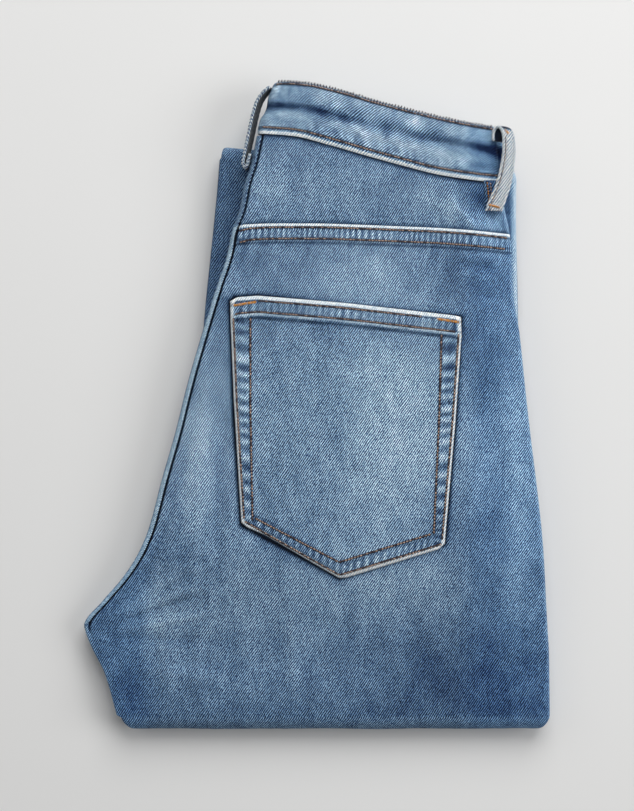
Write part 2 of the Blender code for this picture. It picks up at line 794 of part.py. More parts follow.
def grid_height(grid, x, y):
    """Height of the panel's facets at a place."""
    best = None
    for i in range(len(grid) - 1):
        upper = grid[i]
        lower = grid[i + 1]
        for j in range(len(upper) - 1):
            share_top = (x - upper[j].x) / max(1e-6, upper[j + 1].x - upper[j].x)
            if -0.001 <= share_top <= 1.001:
                high = upper[j].lerp(upper[j + 1], share_top)
                k = min(range(len(lower) - 1), key=lambda n: abs(0.5 * (lower[n].x + lower[n + 1].x) - x))
                share_low = (x - lower[k].x) / max(1e-6, lower[k + 1].x - lower[k].x)
                low = lower[k].lerp(lower[k + 1], share_low)
                if low.y <= y <= high.y:
                    best = blend(low.z, high.z, (y - low.y) / (high.y - low.y))
    return best


# Outline of the back pocket: rows from its mouth down to where the point starts
PocketRow = namedtuple("PocketRow", "part left right")
POCKET_SIDES = [
    PocketRow(0.00, -54.8, 92.4),
    PocketRow(0.08, -54.6, 92.8),
    PocketRow(0.45, -52.4, 89.0),
    PocketRow(1.00, -47.6, 82.0),
]
# Mouth and lower edge of the pocket across its width
PocketColumn = namedtuple("PocketColumn", "share mouth edge")
POCKET_EDGES = [
    PocketColumn(0.00, 67.6, -73.5),
    PocketColumn(0.03, 70.2, -76.6),
    PocketColumn(0.12, 71.2, -81.6),
    PocketColumn(0.48, 66.8, -109.0),
    PocketColumn(0.52, 66.2, -108.6),
    PocketColumn(0.97, 58.6, -90.4),
    PocketColumn(1.00, 57.6, -87.0),
]


def straight(rows, key, name, x):
    """One named column of a table, read at x with straight lines between rows."""
    for low, high in zip(rows, rows[1:]):
        if x <= getattr(high, key):
            t = (x - getattr(low, key)) / (getattr(high, key) - getattr(low, key))
            return blend(getattr(low, name), getattr(high, name), t)
    return getattr(rows[-1], name)


def build_pocket(colour):
    """Right back pocket: a patch on the panel's own surface, with its turned hem and edges."""
    grid = panel_grid()
    shares = [0.0, 0.03, 0.09, 0.12, 0.24, 0.36, 0.48, 0.52, 0.64, 0.76, 0.88, 0.91, 0.97, 1.0]
    parts = [0.0, 0.03, 0.075, 0.1, 0.2, 0.3, 0.4, 0.5, 0.6, 0.7, 0.78, 0.86, 0.92, 0.96, 1.0]
    outer_rows = []
    inner_rows = []
    for part in parts:
        outer = []
        inner = []
        for share in shares:
            x = blend(straight(POCKET_SIDES, "part", "left", part),
                      straight(POCKET_SIDES, "part", "right", part), share)
            mouth = straight(POCKET_EDGES, "share", "mouth", share)
            edge = straight(POCKET_EDGES, "share", "edge", share)
            y = blend(mouth, edge, part)
            z = grid_height(grid, x, y)
            rim = min(share, 1 - share) < 0.001 or part > 0.999
            turned = min(share, 1 - share) < 0.1 or part > 0.91
            gap = POCKET_GAP + (0.0 if rim else POCKET_LOFT)
            rise = 0.0 if rim else (POCKET_HEM_RISE if part < 0.08 else (0.35 if turned else 0.0))
            inner.append(Vector((x, y, z + gap)))
            outer.append(Vector((x, y, z + gap + CLOTH + rise)))
        outer_rows.append(outer)
        inner_rows.append(inner)
    wall_between("right_back_pocket", outer_rows, inner_rows, colour)


def build_loop(name, table, colour):
    """Belt loop: a strip of even width and thickness along its path."""
    half = LOOP_WALL / 2
    wide = LOOP_WIDTH / 2
    bevel = 0.5
    corners = [(-wide + bevel, half), (wide - bevel, half), (wide, half - bevel), (wide, bevel - half),
               (wide - bevel, -half), (-wide + bevel, -half), (-wide, bevel - half), (-wide, half - bevel)]
    path = [Vector((point.x, point.y, point.z)) for point in table]
    rings = []
    for k, point in enumerate(table):
        tilt = math.radians(point.tilt)
        across = Vector((math.cos(tilt), 0.0, -math.sin(tilt)))
        along = path[min(k + 1, len(path) - 1)] - path[max(k - 1, 0)]
        normal = across.cross(along).normalized()
        rings.append([path[k] + across * w + normal * t for w, t in corners])
    solid_through(name, rings, colour, flat_along_path=True)


def build_hem(name, lower, colour):
    """Turned-up hem of one leg: a flat ring at the end of the leg."""
    start = 1 - HEM_HEIGHT / (TOP_FOLD_Y - PACK - HEM_Y)
    outer_rings = []
    inner_rings = []
    for share in (start, blend(start, 1.0, 0.5), 1.0):
        station = CuffStation(share, 1.0)
        step_left = station.left_step if lower else 0.0
        step_right = station.right_step if lower else 0.0
        left = station.left + step_left
        right = station.right - step_right
        height = PACK / 2 - 0.1
        outer = []
        inner = []
        reach = height / 2 + 0.4
        for wall, ring in ((0.0, outer), (HEM_WALL, inner)):
            half = height / 2 - wall
            for x0, sign, angles in ((left + reach, -1, (-90, -45, 0, 45, 90)),
                                     (right - reach, 1, (90, 45, 0, -45, -90))):
                for angle in angles:
                    turn = math.radians(angle)
                    x = x0 + sign * (reach - wall) * math.cos(turn)
                    z = height / 2 + half * math.sin(turn)
                    base = 0.0 if lower else PACK / 2 + 0.1
                    ring.append(Vector((x, station.row(x), base + z)))
        outer_rings.append(outer)
        inner_rings.append(inner)
    tube_through(name, outer_rings, inner_rings, colour)


def main():
    """Build every piece of the folded jeans."""
    for old in list(bpy.data.objects):
        bpy.data.objects.remove(old, do_unlink=True)
    denim = (0.11, 0.19, 0.30)
    dark_denim = (0.07, 0.12, 0.20)
    pale_denim = (0.20, 0.29, 0.38)
    build_panels(denim, dark_denim)
    build_yokes(denim)
    build_band(denim)
    build_pocket(pale_denim)
    build_loop("belt_loop_centre_back", CENTRE_LOOP, pale_denim)
    build_loop("belt_loop_right_side", RIGHT_LOOP, pale_denim)
    build_loop("belt_loop_left_side", LEFT_LOOP, pale_denim)
    build_hem("right_hem", False, dark_denim)
    build_hem("left_hem", True, dark_denim)


main()
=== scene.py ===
"""Slim stretch-denim jeans, folded in half with the backs outward and the legs folded under.

The cloth is laid on the same folded form as the CAD solids, worked out here from its own tables in
millimetres, and gets its creases, felled seams, stitches, twill and worn places, with painted light and shade.
"""

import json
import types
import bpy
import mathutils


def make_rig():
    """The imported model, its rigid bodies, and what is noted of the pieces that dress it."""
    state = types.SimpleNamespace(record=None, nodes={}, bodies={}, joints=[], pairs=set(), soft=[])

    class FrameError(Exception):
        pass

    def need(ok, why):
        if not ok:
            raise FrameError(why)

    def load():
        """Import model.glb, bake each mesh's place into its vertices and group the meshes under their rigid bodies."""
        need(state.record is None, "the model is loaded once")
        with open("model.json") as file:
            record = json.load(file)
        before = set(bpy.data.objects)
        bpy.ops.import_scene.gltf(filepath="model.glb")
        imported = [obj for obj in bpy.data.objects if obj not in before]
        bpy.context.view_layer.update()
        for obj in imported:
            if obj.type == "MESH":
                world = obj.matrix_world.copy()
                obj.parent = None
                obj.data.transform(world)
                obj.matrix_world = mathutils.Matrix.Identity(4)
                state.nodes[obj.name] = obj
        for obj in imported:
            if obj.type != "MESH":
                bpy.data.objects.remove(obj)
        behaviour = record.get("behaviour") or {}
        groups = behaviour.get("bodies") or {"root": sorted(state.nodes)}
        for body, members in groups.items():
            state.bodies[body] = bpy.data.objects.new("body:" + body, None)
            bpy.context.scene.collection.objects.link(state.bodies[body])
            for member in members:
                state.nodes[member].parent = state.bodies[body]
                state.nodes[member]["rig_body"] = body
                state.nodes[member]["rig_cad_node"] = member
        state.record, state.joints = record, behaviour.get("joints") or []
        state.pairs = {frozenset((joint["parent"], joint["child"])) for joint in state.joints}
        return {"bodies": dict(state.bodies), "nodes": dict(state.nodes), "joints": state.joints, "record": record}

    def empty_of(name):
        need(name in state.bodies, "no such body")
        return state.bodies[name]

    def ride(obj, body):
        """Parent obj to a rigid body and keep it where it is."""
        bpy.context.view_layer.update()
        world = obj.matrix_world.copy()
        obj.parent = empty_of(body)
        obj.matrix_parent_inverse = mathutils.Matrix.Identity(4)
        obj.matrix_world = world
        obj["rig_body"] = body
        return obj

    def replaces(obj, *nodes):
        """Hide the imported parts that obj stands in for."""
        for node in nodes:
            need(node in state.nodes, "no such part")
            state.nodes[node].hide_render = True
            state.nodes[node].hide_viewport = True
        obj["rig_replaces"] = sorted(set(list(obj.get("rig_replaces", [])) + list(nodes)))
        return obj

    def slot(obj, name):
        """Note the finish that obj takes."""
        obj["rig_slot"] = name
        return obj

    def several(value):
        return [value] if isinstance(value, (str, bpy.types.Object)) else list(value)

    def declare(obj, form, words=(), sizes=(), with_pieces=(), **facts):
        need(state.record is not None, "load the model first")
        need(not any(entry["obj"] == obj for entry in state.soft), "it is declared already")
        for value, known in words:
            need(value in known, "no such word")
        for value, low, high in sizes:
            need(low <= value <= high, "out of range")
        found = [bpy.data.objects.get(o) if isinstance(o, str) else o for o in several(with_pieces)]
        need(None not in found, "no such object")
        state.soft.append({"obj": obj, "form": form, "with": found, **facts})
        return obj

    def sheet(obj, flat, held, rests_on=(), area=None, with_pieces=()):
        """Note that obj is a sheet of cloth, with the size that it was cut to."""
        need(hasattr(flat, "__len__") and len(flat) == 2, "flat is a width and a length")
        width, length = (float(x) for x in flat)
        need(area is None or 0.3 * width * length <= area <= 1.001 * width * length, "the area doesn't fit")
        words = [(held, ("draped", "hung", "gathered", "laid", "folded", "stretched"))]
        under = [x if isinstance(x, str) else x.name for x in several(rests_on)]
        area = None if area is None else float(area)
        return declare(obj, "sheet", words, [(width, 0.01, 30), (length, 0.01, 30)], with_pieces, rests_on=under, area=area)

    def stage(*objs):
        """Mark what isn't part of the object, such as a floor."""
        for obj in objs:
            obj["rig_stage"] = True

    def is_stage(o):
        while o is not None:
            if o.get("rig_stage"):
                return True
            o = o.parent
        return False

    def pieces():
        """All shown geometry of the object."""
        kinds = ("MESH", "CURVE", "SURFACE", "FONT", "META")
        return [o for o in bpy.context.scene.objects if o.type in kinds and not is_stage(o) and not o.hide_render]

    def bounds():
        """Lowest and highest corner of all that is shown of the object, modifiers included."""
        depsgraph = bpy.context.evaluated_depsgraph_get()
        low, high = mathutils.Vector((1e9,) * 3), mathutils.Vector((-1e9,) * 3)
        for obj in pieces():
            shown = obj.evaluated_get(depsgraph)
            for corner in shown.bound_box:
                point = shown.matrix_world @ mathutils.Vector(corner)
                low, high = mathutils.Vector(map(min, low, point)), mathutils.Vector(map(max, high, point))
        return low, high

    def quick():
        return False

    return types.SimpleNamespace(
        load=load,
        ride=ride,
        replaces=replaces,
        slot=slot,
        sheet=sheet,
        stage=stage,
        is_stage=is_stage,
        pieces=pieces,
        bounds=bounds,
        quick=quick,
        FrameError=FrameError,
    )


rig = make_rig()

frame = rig.load()

import json
import logging
import math
from dataclasses import dataclass, field
from enum import Enum
from pathlib import Path
from typing import Any, Callable, NamedTuple, Optional, Sequence, Union

import bpy
import numpy as np
from bpy.types import Material, Node, NodeSocket, NodeTree, Object
from mathutils import Vector
from mathutils.bvhtree import BVHTree

log = logging.getLogger("jeans")
CAD_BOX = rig.bounds()

MM = 0.001
CLOTH = 1.3
PACK = 8.6
YOKE_PACK = 10.4
BAND_WALL = 2.6
BAND_PITCH = 3.0
BAND_STEP = 0.8
BAND_PACK = 11.6
BAND_CROWN = 1.2
BAND_HEIGHT = 34.5
FRONT_DIP = 16.0
FRONT_RECESS = 9.0
TUBE_REACH = 3.0
SEAT_REACH = 6.0
SEAT_SEAM_ANGLE = 65.0
SEAM_EDGE_ANGLE = 4.0
GROOVE_DEPTH = 6.0
BOTTOM_FOLD_Y = -207.9
BOTTOM_FOLD_BORE = 1.8
TOP_FOLD_Y = 163.6
TOP_FOLD_SLOPE = -0.079
TOP_FOLD_BORE = 0.5
TOP_FOLD_CORNER = 0.8
LEG_TOP_Y = 166.0
HEM_Y = -77.0
HEM_HEIGHT = 22.0
HEM_WALL = 1.9
FOLD_CORNER = 5.0
FELL_WIDTH = 10.4
SEAM_ROWS = (2.4, 9.6)
BAND_EDGE_ROW = 4.2
BAND_TOP_ROW = 1.7
HEM_ROWS = (3.2, 10.3)
HEM_EDGE = 12.4
POCKET_ROW = 2.0
# Inner row of stitches beside the pocket's edges, at the mouth and at the lower corners
POCKET_SIDE_ROWS = (13.3, 7.2)
POCKET_POINT_ROW = 9.2
FELL_RISE = 0.8
POCKET_LIFT = 1.65
LOOP_WALL = 2.0
LOOP_WIDTH = 11.5
BAND_UNDER_REACH = 4.4
BAND_TOP_LEFT = -28.2
BAND_TOP_WIDTH = 143.0
TWILL_PITCH = 1.28
TWILL_ANGLE = 56.0
BASE_FADE = 0.43
# Droop of the seat's free edge: its greatest depth, and the overhang that gives it
EDGE_DROOP = 6.4
DROOP_SPAN = 52.0
# Rise of the top layer from its edges to its middle, and the distance that it takes
CROWN = 1.5
CROWN_SPAN = 60.0
# Left end and width of the waist where the four plies thicken toward the band
WAIST_LEFT = -45.0
WAIST_WIDTH = 165.0
# How far below the yoke seam rows follow it, then the first and last level row, and the seam's usual level
FOLLOW_SEAM = 15.0
LEVEL_START = 86.0
LEVEL_END = -197.8
SEAM_LEVEL = 115.0
# Where stitches are dropped from, in millimetres, and how far, in metres
DROP_HEIGHT = 60.0
DROP_REACH = 0.2
# Most that a stitch may climb, the share of stitches whose thread has worn dark, and the pitch of a bar tack
STITCH_CLIMB = 1.4
DARK_SHARE = 0.28
TACK_PITCH = 0.52
# The dark bed under a stitch, which paints the shade of its groove: how far it passes the stitch's ends, and its size
# and depth in thread radii
BED_PASS = 0.28
BED_SIZE = 1.60
BED_DEPTH = 0.95

PHOTO_CENTRE = (0.65, 1.2)
CAMERA_HEIGHT = 1180.0
LENS = 80.18
FLOOR_REACH = 3.0
SKY_STRENGTH = 0.178
UP = Vector((0.0, 0.0, 1.0))
# Share of its length, thickness and lift at each ring of a stitch's bead
BEAD = ((0.0, 0.35, -0.55), (0.14, 0.9, 0.35), (0.5, 1.0, 0.75), (0.86, 0.9, 0.35), (1.0, 0.35, -0.55))

Array = np.ndarray
Colour = tuple[float, float, float, float]
Table = Sequence[NamedTuple]
RowLine = Callable[[Array], Array]


class Outline(NamedTuple):
    """Left and right edge at a row."""

    y: float
    left: float
    right: float


class Underside(NamedTuple):
    """Height of the top layer's lower face at a row."""

    y: float
    height: float


class WaistColumn(NamedTuple):
    """Rows of the band's edges and the yoke seam at a share across the back."""

    share: float
    top: float
    bottom: float
    seam: float


class BandRow(NamedTuple):
    """Ends of the band at a share of its height."""

    rise: float
    left: float
    right: float
    lift: float


class Fold(NamedTuple):
    """A soft ridge or trough from one end to the other."""

    x0: float
    y0: float
    x1: float
    y1: float
    width: float
    rise: float


class Step(NamedTuple):
    """How far the left leg's edges stand in from the right leg's."""

    length: float
    left: float
    right: float


class LoopPoint(NamedTuple):
    """A point of a belt loop's path, with the turn of the strip about it."""

    x: float
    y: float
    z: float
    tilt: float


class Cut(NamedTuple):
    """Flat cut of a piece: its width, length and area in metres, and what it lies on."""

    width: float
    length: float
    area: float
    rests_on: str


class FadeAndShadePatch(NamedTuple):
    """A soft patch of paler or darker cloth; the patches hold wash fading as well as painted light and shade."""

    x: float
    y: float
    wide: float
    tall: float
    turn: float
    amount: float


TOP_OUTLINE = [Outline(*row) for row in (
    (206, -26.9, 114.4), (196.7, -31.1, 114.7), (176.6, -37, 115), (155.1, -41.6, 116.2), (141.7, -45.8, 117),
    (125.7, -49.1, 120.4), (112.5, -54, 123.4), (95.9, -57.6, 125.1), (77, -64, 125.8), (45.7, -73.6, 130.4),
    (15, -82.5, 133.6), (-15.8, -90.2, 137), (-46.5, -99, 140.8), (-77.5, -107.3, 144.3),
    (-93.1, -113.8, 145.6), (-108.9, -123.9, 146.7), (-124.8, -137.6, 147.8), (-141.6, -150.3, 149),
    (-148.5, -147.8, 149.5), (-156.1, -144.4, 150), (-171.4, -136.4, 150.3), (-186.6, -131.4, 150.3),
    (-207.9, -125.5, 150.3),
)]
LEG_OUTLINE = [Outline(*row) for row in (
    (166, -61.4, 128.8), (134, -63.6, 129.1), (95, -67.2, 130.2), (63, -70.4, 130.8), (5, -75.6, 131.6),
    (-47, -82, 138), (-125, -98.1, 145.6), (-184, -117.1, 149), (-207.9, -125.5, 150.3),
)]
CUFF_OUTLINE = [Outline(*row) for row in (
    (166, -61.4, 128.8), (60, -58.5, 126), (-77, -54.7, 121.7),
)]
TOP_UNDERSIDE = [Underside(*row) for row in (
    (210, 18.4), (188, 20.6), (166, 21.8), (146, 21.6), (122, 20.2), (95, 18.4), (60, 18), (-76, 18.2),
    (-92, 18.2), (-110, 16.2), (-130, 12.8), (-150, 10.5), (-165, 10), (-182, 11.1), (-197.8, 12.2),
    (-212, 12.2),
)]
WAIST_COLUMNS = [WaistColumn(*row) for row in (
    (0.00, 206.8, 174.2, 114.8), (0.05, 207.9, 173.8, 116.6), (0.15, 206.8, 172.4, 117.2),
    (0.30, 202, 166.6, 117.1), (0.45, 195.6, 159.9, 116.3), (0.60, 189.8, 153.6, 115.3),
    (0.75, 184.6, 147.8, 114.2), (0.90, 180.3, 144.4, 112.2), (1.00, 178, 143, 110.4),
)]
BAND_ROWS = [BandRow(*row) for row in (
    (0.00, -37.4, 116.6, 0), (0.08, -37.2, 116.6, 0.5), (0.28, -35.8, 116.2, 0.4), (0.44, -32.6, 115.8, 0.6),
    (0.56, -31.4, 115.5, -1), (0.70, -30.8, 115.2, -0.2), (0.92, -28.2, 114.8, 0.1), (1.00, -27, 114.6, -0.6),
)]
LEG_STEPS = [Step(*row) for row in (
    (0, 0, 2.2), (0.2, 0, 1.2), (0.38, 1.6, 2.6), (0.5, 0.6, -0.4), (0.62, -0.8, 0.8), (0.75, 0.4, -0.6),
    (0.88, -0.6, 1.4), (1, 1.2, 2),
)]
FOLDS = [Fold(*row) for row in (
    (-74, 5, -77, -122, 6.5, 1), (-59, 16, -64, -126, 6, -1), (-143, -138, -62, -112, 6.5, 1.1),
    (-140, -148, -52, -150, 6, -0.9), (-128, -166, -48, -176, 7, 0.9), (-100, -128, -93, -196, 6.5, 0.8),
    (-8, -118, -14, -198, 9, 0.7), (58, -112, 74, -198, 12, -0.8), (70, 138, 112, 106, 9, 0.9),
    (86, 92, 122, 86, 7, -0.8), (-60, 92, -40, 60, 6.5, 0.8), (118, 40, 128, -60, 9, 0.7),
)]
CREASES = [Fold(*row) for row in (
    (-55.7, 79.6, -57.6, 68.1, 3, 0.7), (-74.9, 49.5, -80.6, -8.1, 3, -0.5),
    (-69.8, 30.3, -72.3, -40.1, 3.6, 0.5), (-78.7, -14.5, -83.2, -97.7, 3.2, 0.6),
    (-87, -40.1, -99.8, -97.7, 3, -0.5), (-94.7, -72.1, -112.6, -116.9, 3, -0.6),
    (-74.2, -97.7, -125.4, -131, 3.6, 0.7), (-64.6, -116.9, -131.8, -139.3, 3.2, -0.6),
    (-55, -129.7, -135, -145, 3, 0.6), (-106.2, -123.3, -108.1, -191.1, 3.6, 0.4),
    (-90.2, -136.1, -92.1, -197.5, 3.4, 0.35), (-74.2, -129.7, -75.5, -197.5, 4, 0.45),
    (-53.8, -123.3, -56.3, -197.5, 4.5, -0.35), (-16.6, -116.9, -12.8, -197.5, 4.4, 0.4),
    (18.6, -116.9, 21.8, -197.5, 5.5, -0.4), (50.6, -116.9, 55, -197.5, 4.6, 0.35),
    (79.4, 139.1, 105, 110.3, 2.8, 0.8), (98.6, 139.1, 117.8, 113.5, 3.2, -0.8),
    (89, 145.5, 93.5, 118.6, 3, -0.4), (85.8, 93, 117.8, 89.2, 2.4, -0.7), (87, 86.6, 121, 80.9, 2.8, 0.6),
    (98.6, 75.1, 125.4, 68.7, 3, -0.4), (117.8, 36.7, 131.2, 29, 2.4, -0.5),
    (141.5, -189.8, 149.1, -195.5, 2, -0.9), (140.2, -192.4, 147.9, -198.7, 1.8, 0.6),
    (105, 49.5, 101.8, -8.1, 5, 0.4), (117.8, -8.1, 121, -97.7, 7, -0.4),
    (-10.2, 164.7, -16.6, 123.1, 6, -0.35), (28.2, 151.9, 21.8, 123.1, 6, 0.35),
    (-44.8, 139.1, -26.2, 123.1, 4, -0.45), (-45.4, 104, -10, 96, 5, 0.3), (20, 104, 60, 97, 6, -0.25),
    (-98, -100, -70, -104, 3, 0.5), (112, -130, 140, -150, 8, -0.5), (96, -98, 132, -104, 7, 0.4),
    (-30, -140, 10, -150, 7, 0.3),
)]
# Wash fading together with painted light and shade; the dark patches at the lower right and lower left, along the
# bottom fold and beside the side loop are painted shade
FADE_AND_SHADE_PATCHES = [FadeAndShadePatch(*row) for row in (
    (34, 88, 28, 14, 0, 0.08), (-22, 95, 24, 14, 0, -0.06), (45, 0, 40, 75, 8, 0.17),
    (64, -42, 22, 55, 4, 0.06), (12, 12, 14, 26, 0, -0.06), (80, -76, 16, 20, 0, -0.12),
    (30, 50, 46, 9, -4, -0.10), (100, 40, 13, 34, 0, -0.10), (109, 20, 8, 18, 0, -0.13),
    (104, 134, 9, 10, 0, -0.25), (-82, -40, 18, 60, 14, 0.08), (-75, 20, 10, 60, 14, 0.03),
    (-79, -2, 12, 28, 10, 0.05), (-79, -98, 12, 16, 0, -0.12), (-79, -150, 9, 34, 0, -0.04),
    (-60, -50, 14, 80, 0, 0.09), (-46, -4, 12, 30, 0, 0.08), (-8, -150, 60, 16, 0, 0.05),
    (112, -10, 18, 80, -4, 0.04), (110, -92, 14, 26, 0, -0.14), (-130, -140, 12, 22, -20, -0.07),
    (-98, -140, 12, 18, 0, 0.12), (-118, -180, 13, 14, 0, -0.20), (34, -110, 42, 12, 0, 0.09),
    (20, -128, 110, 14, 0, 0.04), (108, -174, 42, 24, 0, -0.22), (129, -66, 6, 46, 0, 0.14),
    (60, -168, 60, 34, 0, -0.05), (-60, -60, 5, 60, 2, -0.11), (90, 96, 22, 12, 0, -0.08),
    (110, 110, 9, 12, 0, 0.16), (92, 80, 22, 12, 0, -0.09), (88, 126, 20, 10, 0, 0.14),
    (62, 119, 24, 8, 0, -0.03), (-36, 138, 12, 26, 0, 0.07), (-8, 142, 24, 10, 0, 0.08),
    (-60, -165, 90, 30, 0, -0.05), (0, -198, 160, 7, 0, -0.07),
)]
CENTRE_LOOP = [LoopPoint(*row) for row in (
    (-28.6, 204.4, 24.2, 80), (-32.2, 201.2, 24.4, 76), (-36, 195.8, 24.7, 74), (-38.6, 188, 25.2, 73),
    (-40.8, 178, 25.7, 73), (-42.8, 168.5, 26.2, 74), (-44.4, 161, 26.6, 76), (-45.6, 156, 26.8, 80),
    (-45.6, 153.6, 26.9, 84), (-44.7, 152.8, 26.9, 88), (-43.9, 154.4, 26.9, 90), (-43, 157.6, 26.9, 90),
    (-41.9, 161.5, 26.8, 90),
)]
RIGHT_LOOP = [LoopPoint(*row) for row in (
    (115.4, 169, 31.9, 50), (115.6, 174.6, 32.2, 50), (117.6, 177.4, 33.4, 50), (120.2, 176.2, 34.9, 48),
    (121.9, 171.5, 35.2, 45), (122.4, 164, 34.9, 42), (121.8, 156.5, 34.3, 39), (120.2, 147, 34, 34),
    (117.9, 138.6, 33.7, 26), (115.2, 131.6, 33.3, 16), (112.7, 124.8, 32.7, 10),
)]
LEFT_LOOP = [LoopPoint(*row) for row in (
    (108.6, 174.6, 18.6, 0), (108.4, 168, 17.2, 0), (108, 160, 17.6, 0), (107.6, 153, 19.3, 0),
    (107.2, 146, 19.6, 0), (106.8, 138, 19.8, 0), (106.4, 129, 19.5, 0),
)]
POCKET_LEFT = [(0.0, -54.8), (0.08, -54.6), (0.45, -52.4), (1.0, -47.6)]
POCKET_RIGHT = [(0.0, 92.4), (0.08, 92.8), (0.45, 89.0), (1.0, 82.0)]
POCKET_MOUTH = [(0.0, 67.6), (0.03, 70.2), (0.12, 71.2), (0.48, 66.8), (0.52, 66.2), (0.97, 58.6),
                (1.0, 57.6)]
POCKET_EDGE = [(0.0, -73.5), (0.03, -76.6), (0.12, -81.6), (0.48, -109.0), (0.52, -108.6), (0.97, -90.4),
               (1.0, -87.0)]
POCKET_OUTLINE = [(-54.8, 67.6), (-52.0, 70.2), (-37.6, 71.2), (92.4, 57.6), (89.0, -8.0), (82.0, -87.0),
                  (15.0, -109.0), (-47.6, -75.0), (-52.4, -6.0)]


def curve(rows: Table, name: str, x: Array) -> Array:
    """Read one column of a table as a smooth curve without overshoot.

    Args:
        rows: Table rows, whose first column the curve runs along.
        name: Column that is read.
        x: Places along the first column.

    Returns:
        The values at x.
    """
    ordered = sorted(rows, key=lambda row: row[0])
    xs = np.array([row[0] for row in ordered], dtype=float)
    ys = np.array([getattr(row, name) for row in ordered], dtype=float)
    return spline(xs, ys, x)


def waist(name: str, share: Array) -> Array:
    """Row of an edge or a seam of the waist at a share across the back."""
    return curve(WAIST_COLUMNS, name, share)


def shares_of(count: int) -> Array:
    """Evenly spaced shares from 0 to 1."""
    return np.linspace(0.0, 1.0, count)


def spline(xs: Array, ys: Array, x: Array) -> Array:
    """Monotone cubic through points.

    Args:
        xs: Rising places.
        ys: Values there.
        x: Places to read.

    Returns:
        The values at x.
    """
    x = np.clip(np.asarray(x, dtype=float), xs[0], xs[-1])
    width = np.diff(xs)
    secant = np.diff(ys) / width
    slope = np.empty_like(ys)
    slope[0], slope[-1] = secant[0], secant[-1]
    before, after = secant[:-1], secant[1:]
    total = np.where(before + after == 0, 1.0, before + after)
    slope[1:-1] = np.where(before * after <= 0, 0.0, 2 * before * after / total)
    k = np.clip(np.searchsorted(xs, x, side="right") - 1, 0, len(width) - 1)
    t = (x - xs[k]) / width[k]
    rise = ys[k + 1] - ys[k]
    return (ys[k] + t * width[k] * slope[k]
            + t * t * (3 * rise - width[k] * (2 * slope[k] + slope[k + 1]))
            + t ** 3 * (width[k] * (slope[k] + slope[k + 1]) - 2 * rise))


def straight(points: Sequence[tuple[float, float]], x: Array) -> Array:
    """Read a short list of points with straight lines between them."""
    return np.interp(x, [p[0] for p in points], [p[1] for p in points])


def ease(t: Array) -> Array:
    """Smooth step from 0 to 1."""
    t = np.clip(t, 0.0, 1.0)
    return t * t * (3 - 2 * t)


def stripe(distance: Array, start: float, end: float, soft: float) -> Array:
    """Band with soft edges between two distances."""
    return ease((distance - start) / soft + 0.5) * ease((end - distance) / soft + 0.5)


def ridge(distance: Array, middle: float, width: float) -> Array:
    """Bell-shaped line at a distance."""
    return np.exp(-((distance - middle) / width) ** 2)


def outside(corners: Sequence[tuple[float, float]], x: Array, y: Array) -> Array:
    """Distance from the nearest edge of an outline."""
    best = np.full(np.broadcast(x, y).shape, 1e6)
    for (x0, y0), (x1, y1) in zip(corners, [*corners[1:], corners[0]]):
        ax, ay = x1 - x0, y1 - y0
        share = np.clip(((x - x0) * ax + (y - y0) * ay) / (ax * ax + ay * ay), 0.0, 1.0)
        best = np.minimum(best, np.hypot(x - x0 - ax * share, y - y0 - ay * share))
    return best


def blend(a: float, b: float, t: Any) -> Any:
    """Straight mix from a to b."""
    return a + (b - a) * t


class Noise:
    """Smooth random field over the plane, the same in every run."""

    def __init__(self, seed: int) -> None:
        """Fill the field's table from a seed."""
        self.table = np.random.default_rng(seed).uniform(-1.0, 1.0, (256, 256))

    def at(self, x: Array, y: Array) -> Array:
        """Value from -1 to 1 at a place.

        Args:
            x: First coordinate, one cell long for each unit.
            y: Second coordinate.

        Returns:
            The field's values.
        """
        x, y = np.broadcast_arrays(np.asarray(x, float), np.asarray(y, float))
        i, j = np.floor(x).astype(int), np.floor(y).astype(int)
        u, v = ease(x - i), ease(y - j)
        a = self.table[i % 256, j % 256]
        b = self.table[(i + 1) % 256, j % 256]
        c = self.table[i % 256, (j + 1) % 256]
        d = self.table[(i + 1) % 256, (j + 1) % 256]
        return (a * (1 - u) + b * u) * (1 - v) + (c * (1 - u) + d * u) * v


BROAD = Noise(11)
SMALL = Noise(23)
PUCKER = Noise(37)
SPOT = Noise(51)


def pucker(along: Array, across: Array, pitch: float, lean: float = 0.35) -> Array:
    """Uneven ripples that cross a sewn seam.

    Args:
        along: Distance along the seam.
        across: Distance from its middle.
        pitch: Usual distance between ripples.
        lean: How far the ripples lean along the seam.

    Returns:
        Ripple height from -1 to 1.
    """
    place = along + lean * across
    wander = 1.6 * PUCKER.at(place / 23.0, across * 0.0 + 3.3)
    wave = np.sin(2 * np.pi * (place / pitch + wander))
    strength = 0.65 + 0.35 * PUCKER.at(place / 9.0, across * 0.0 + 9.7)
    return wave * strength


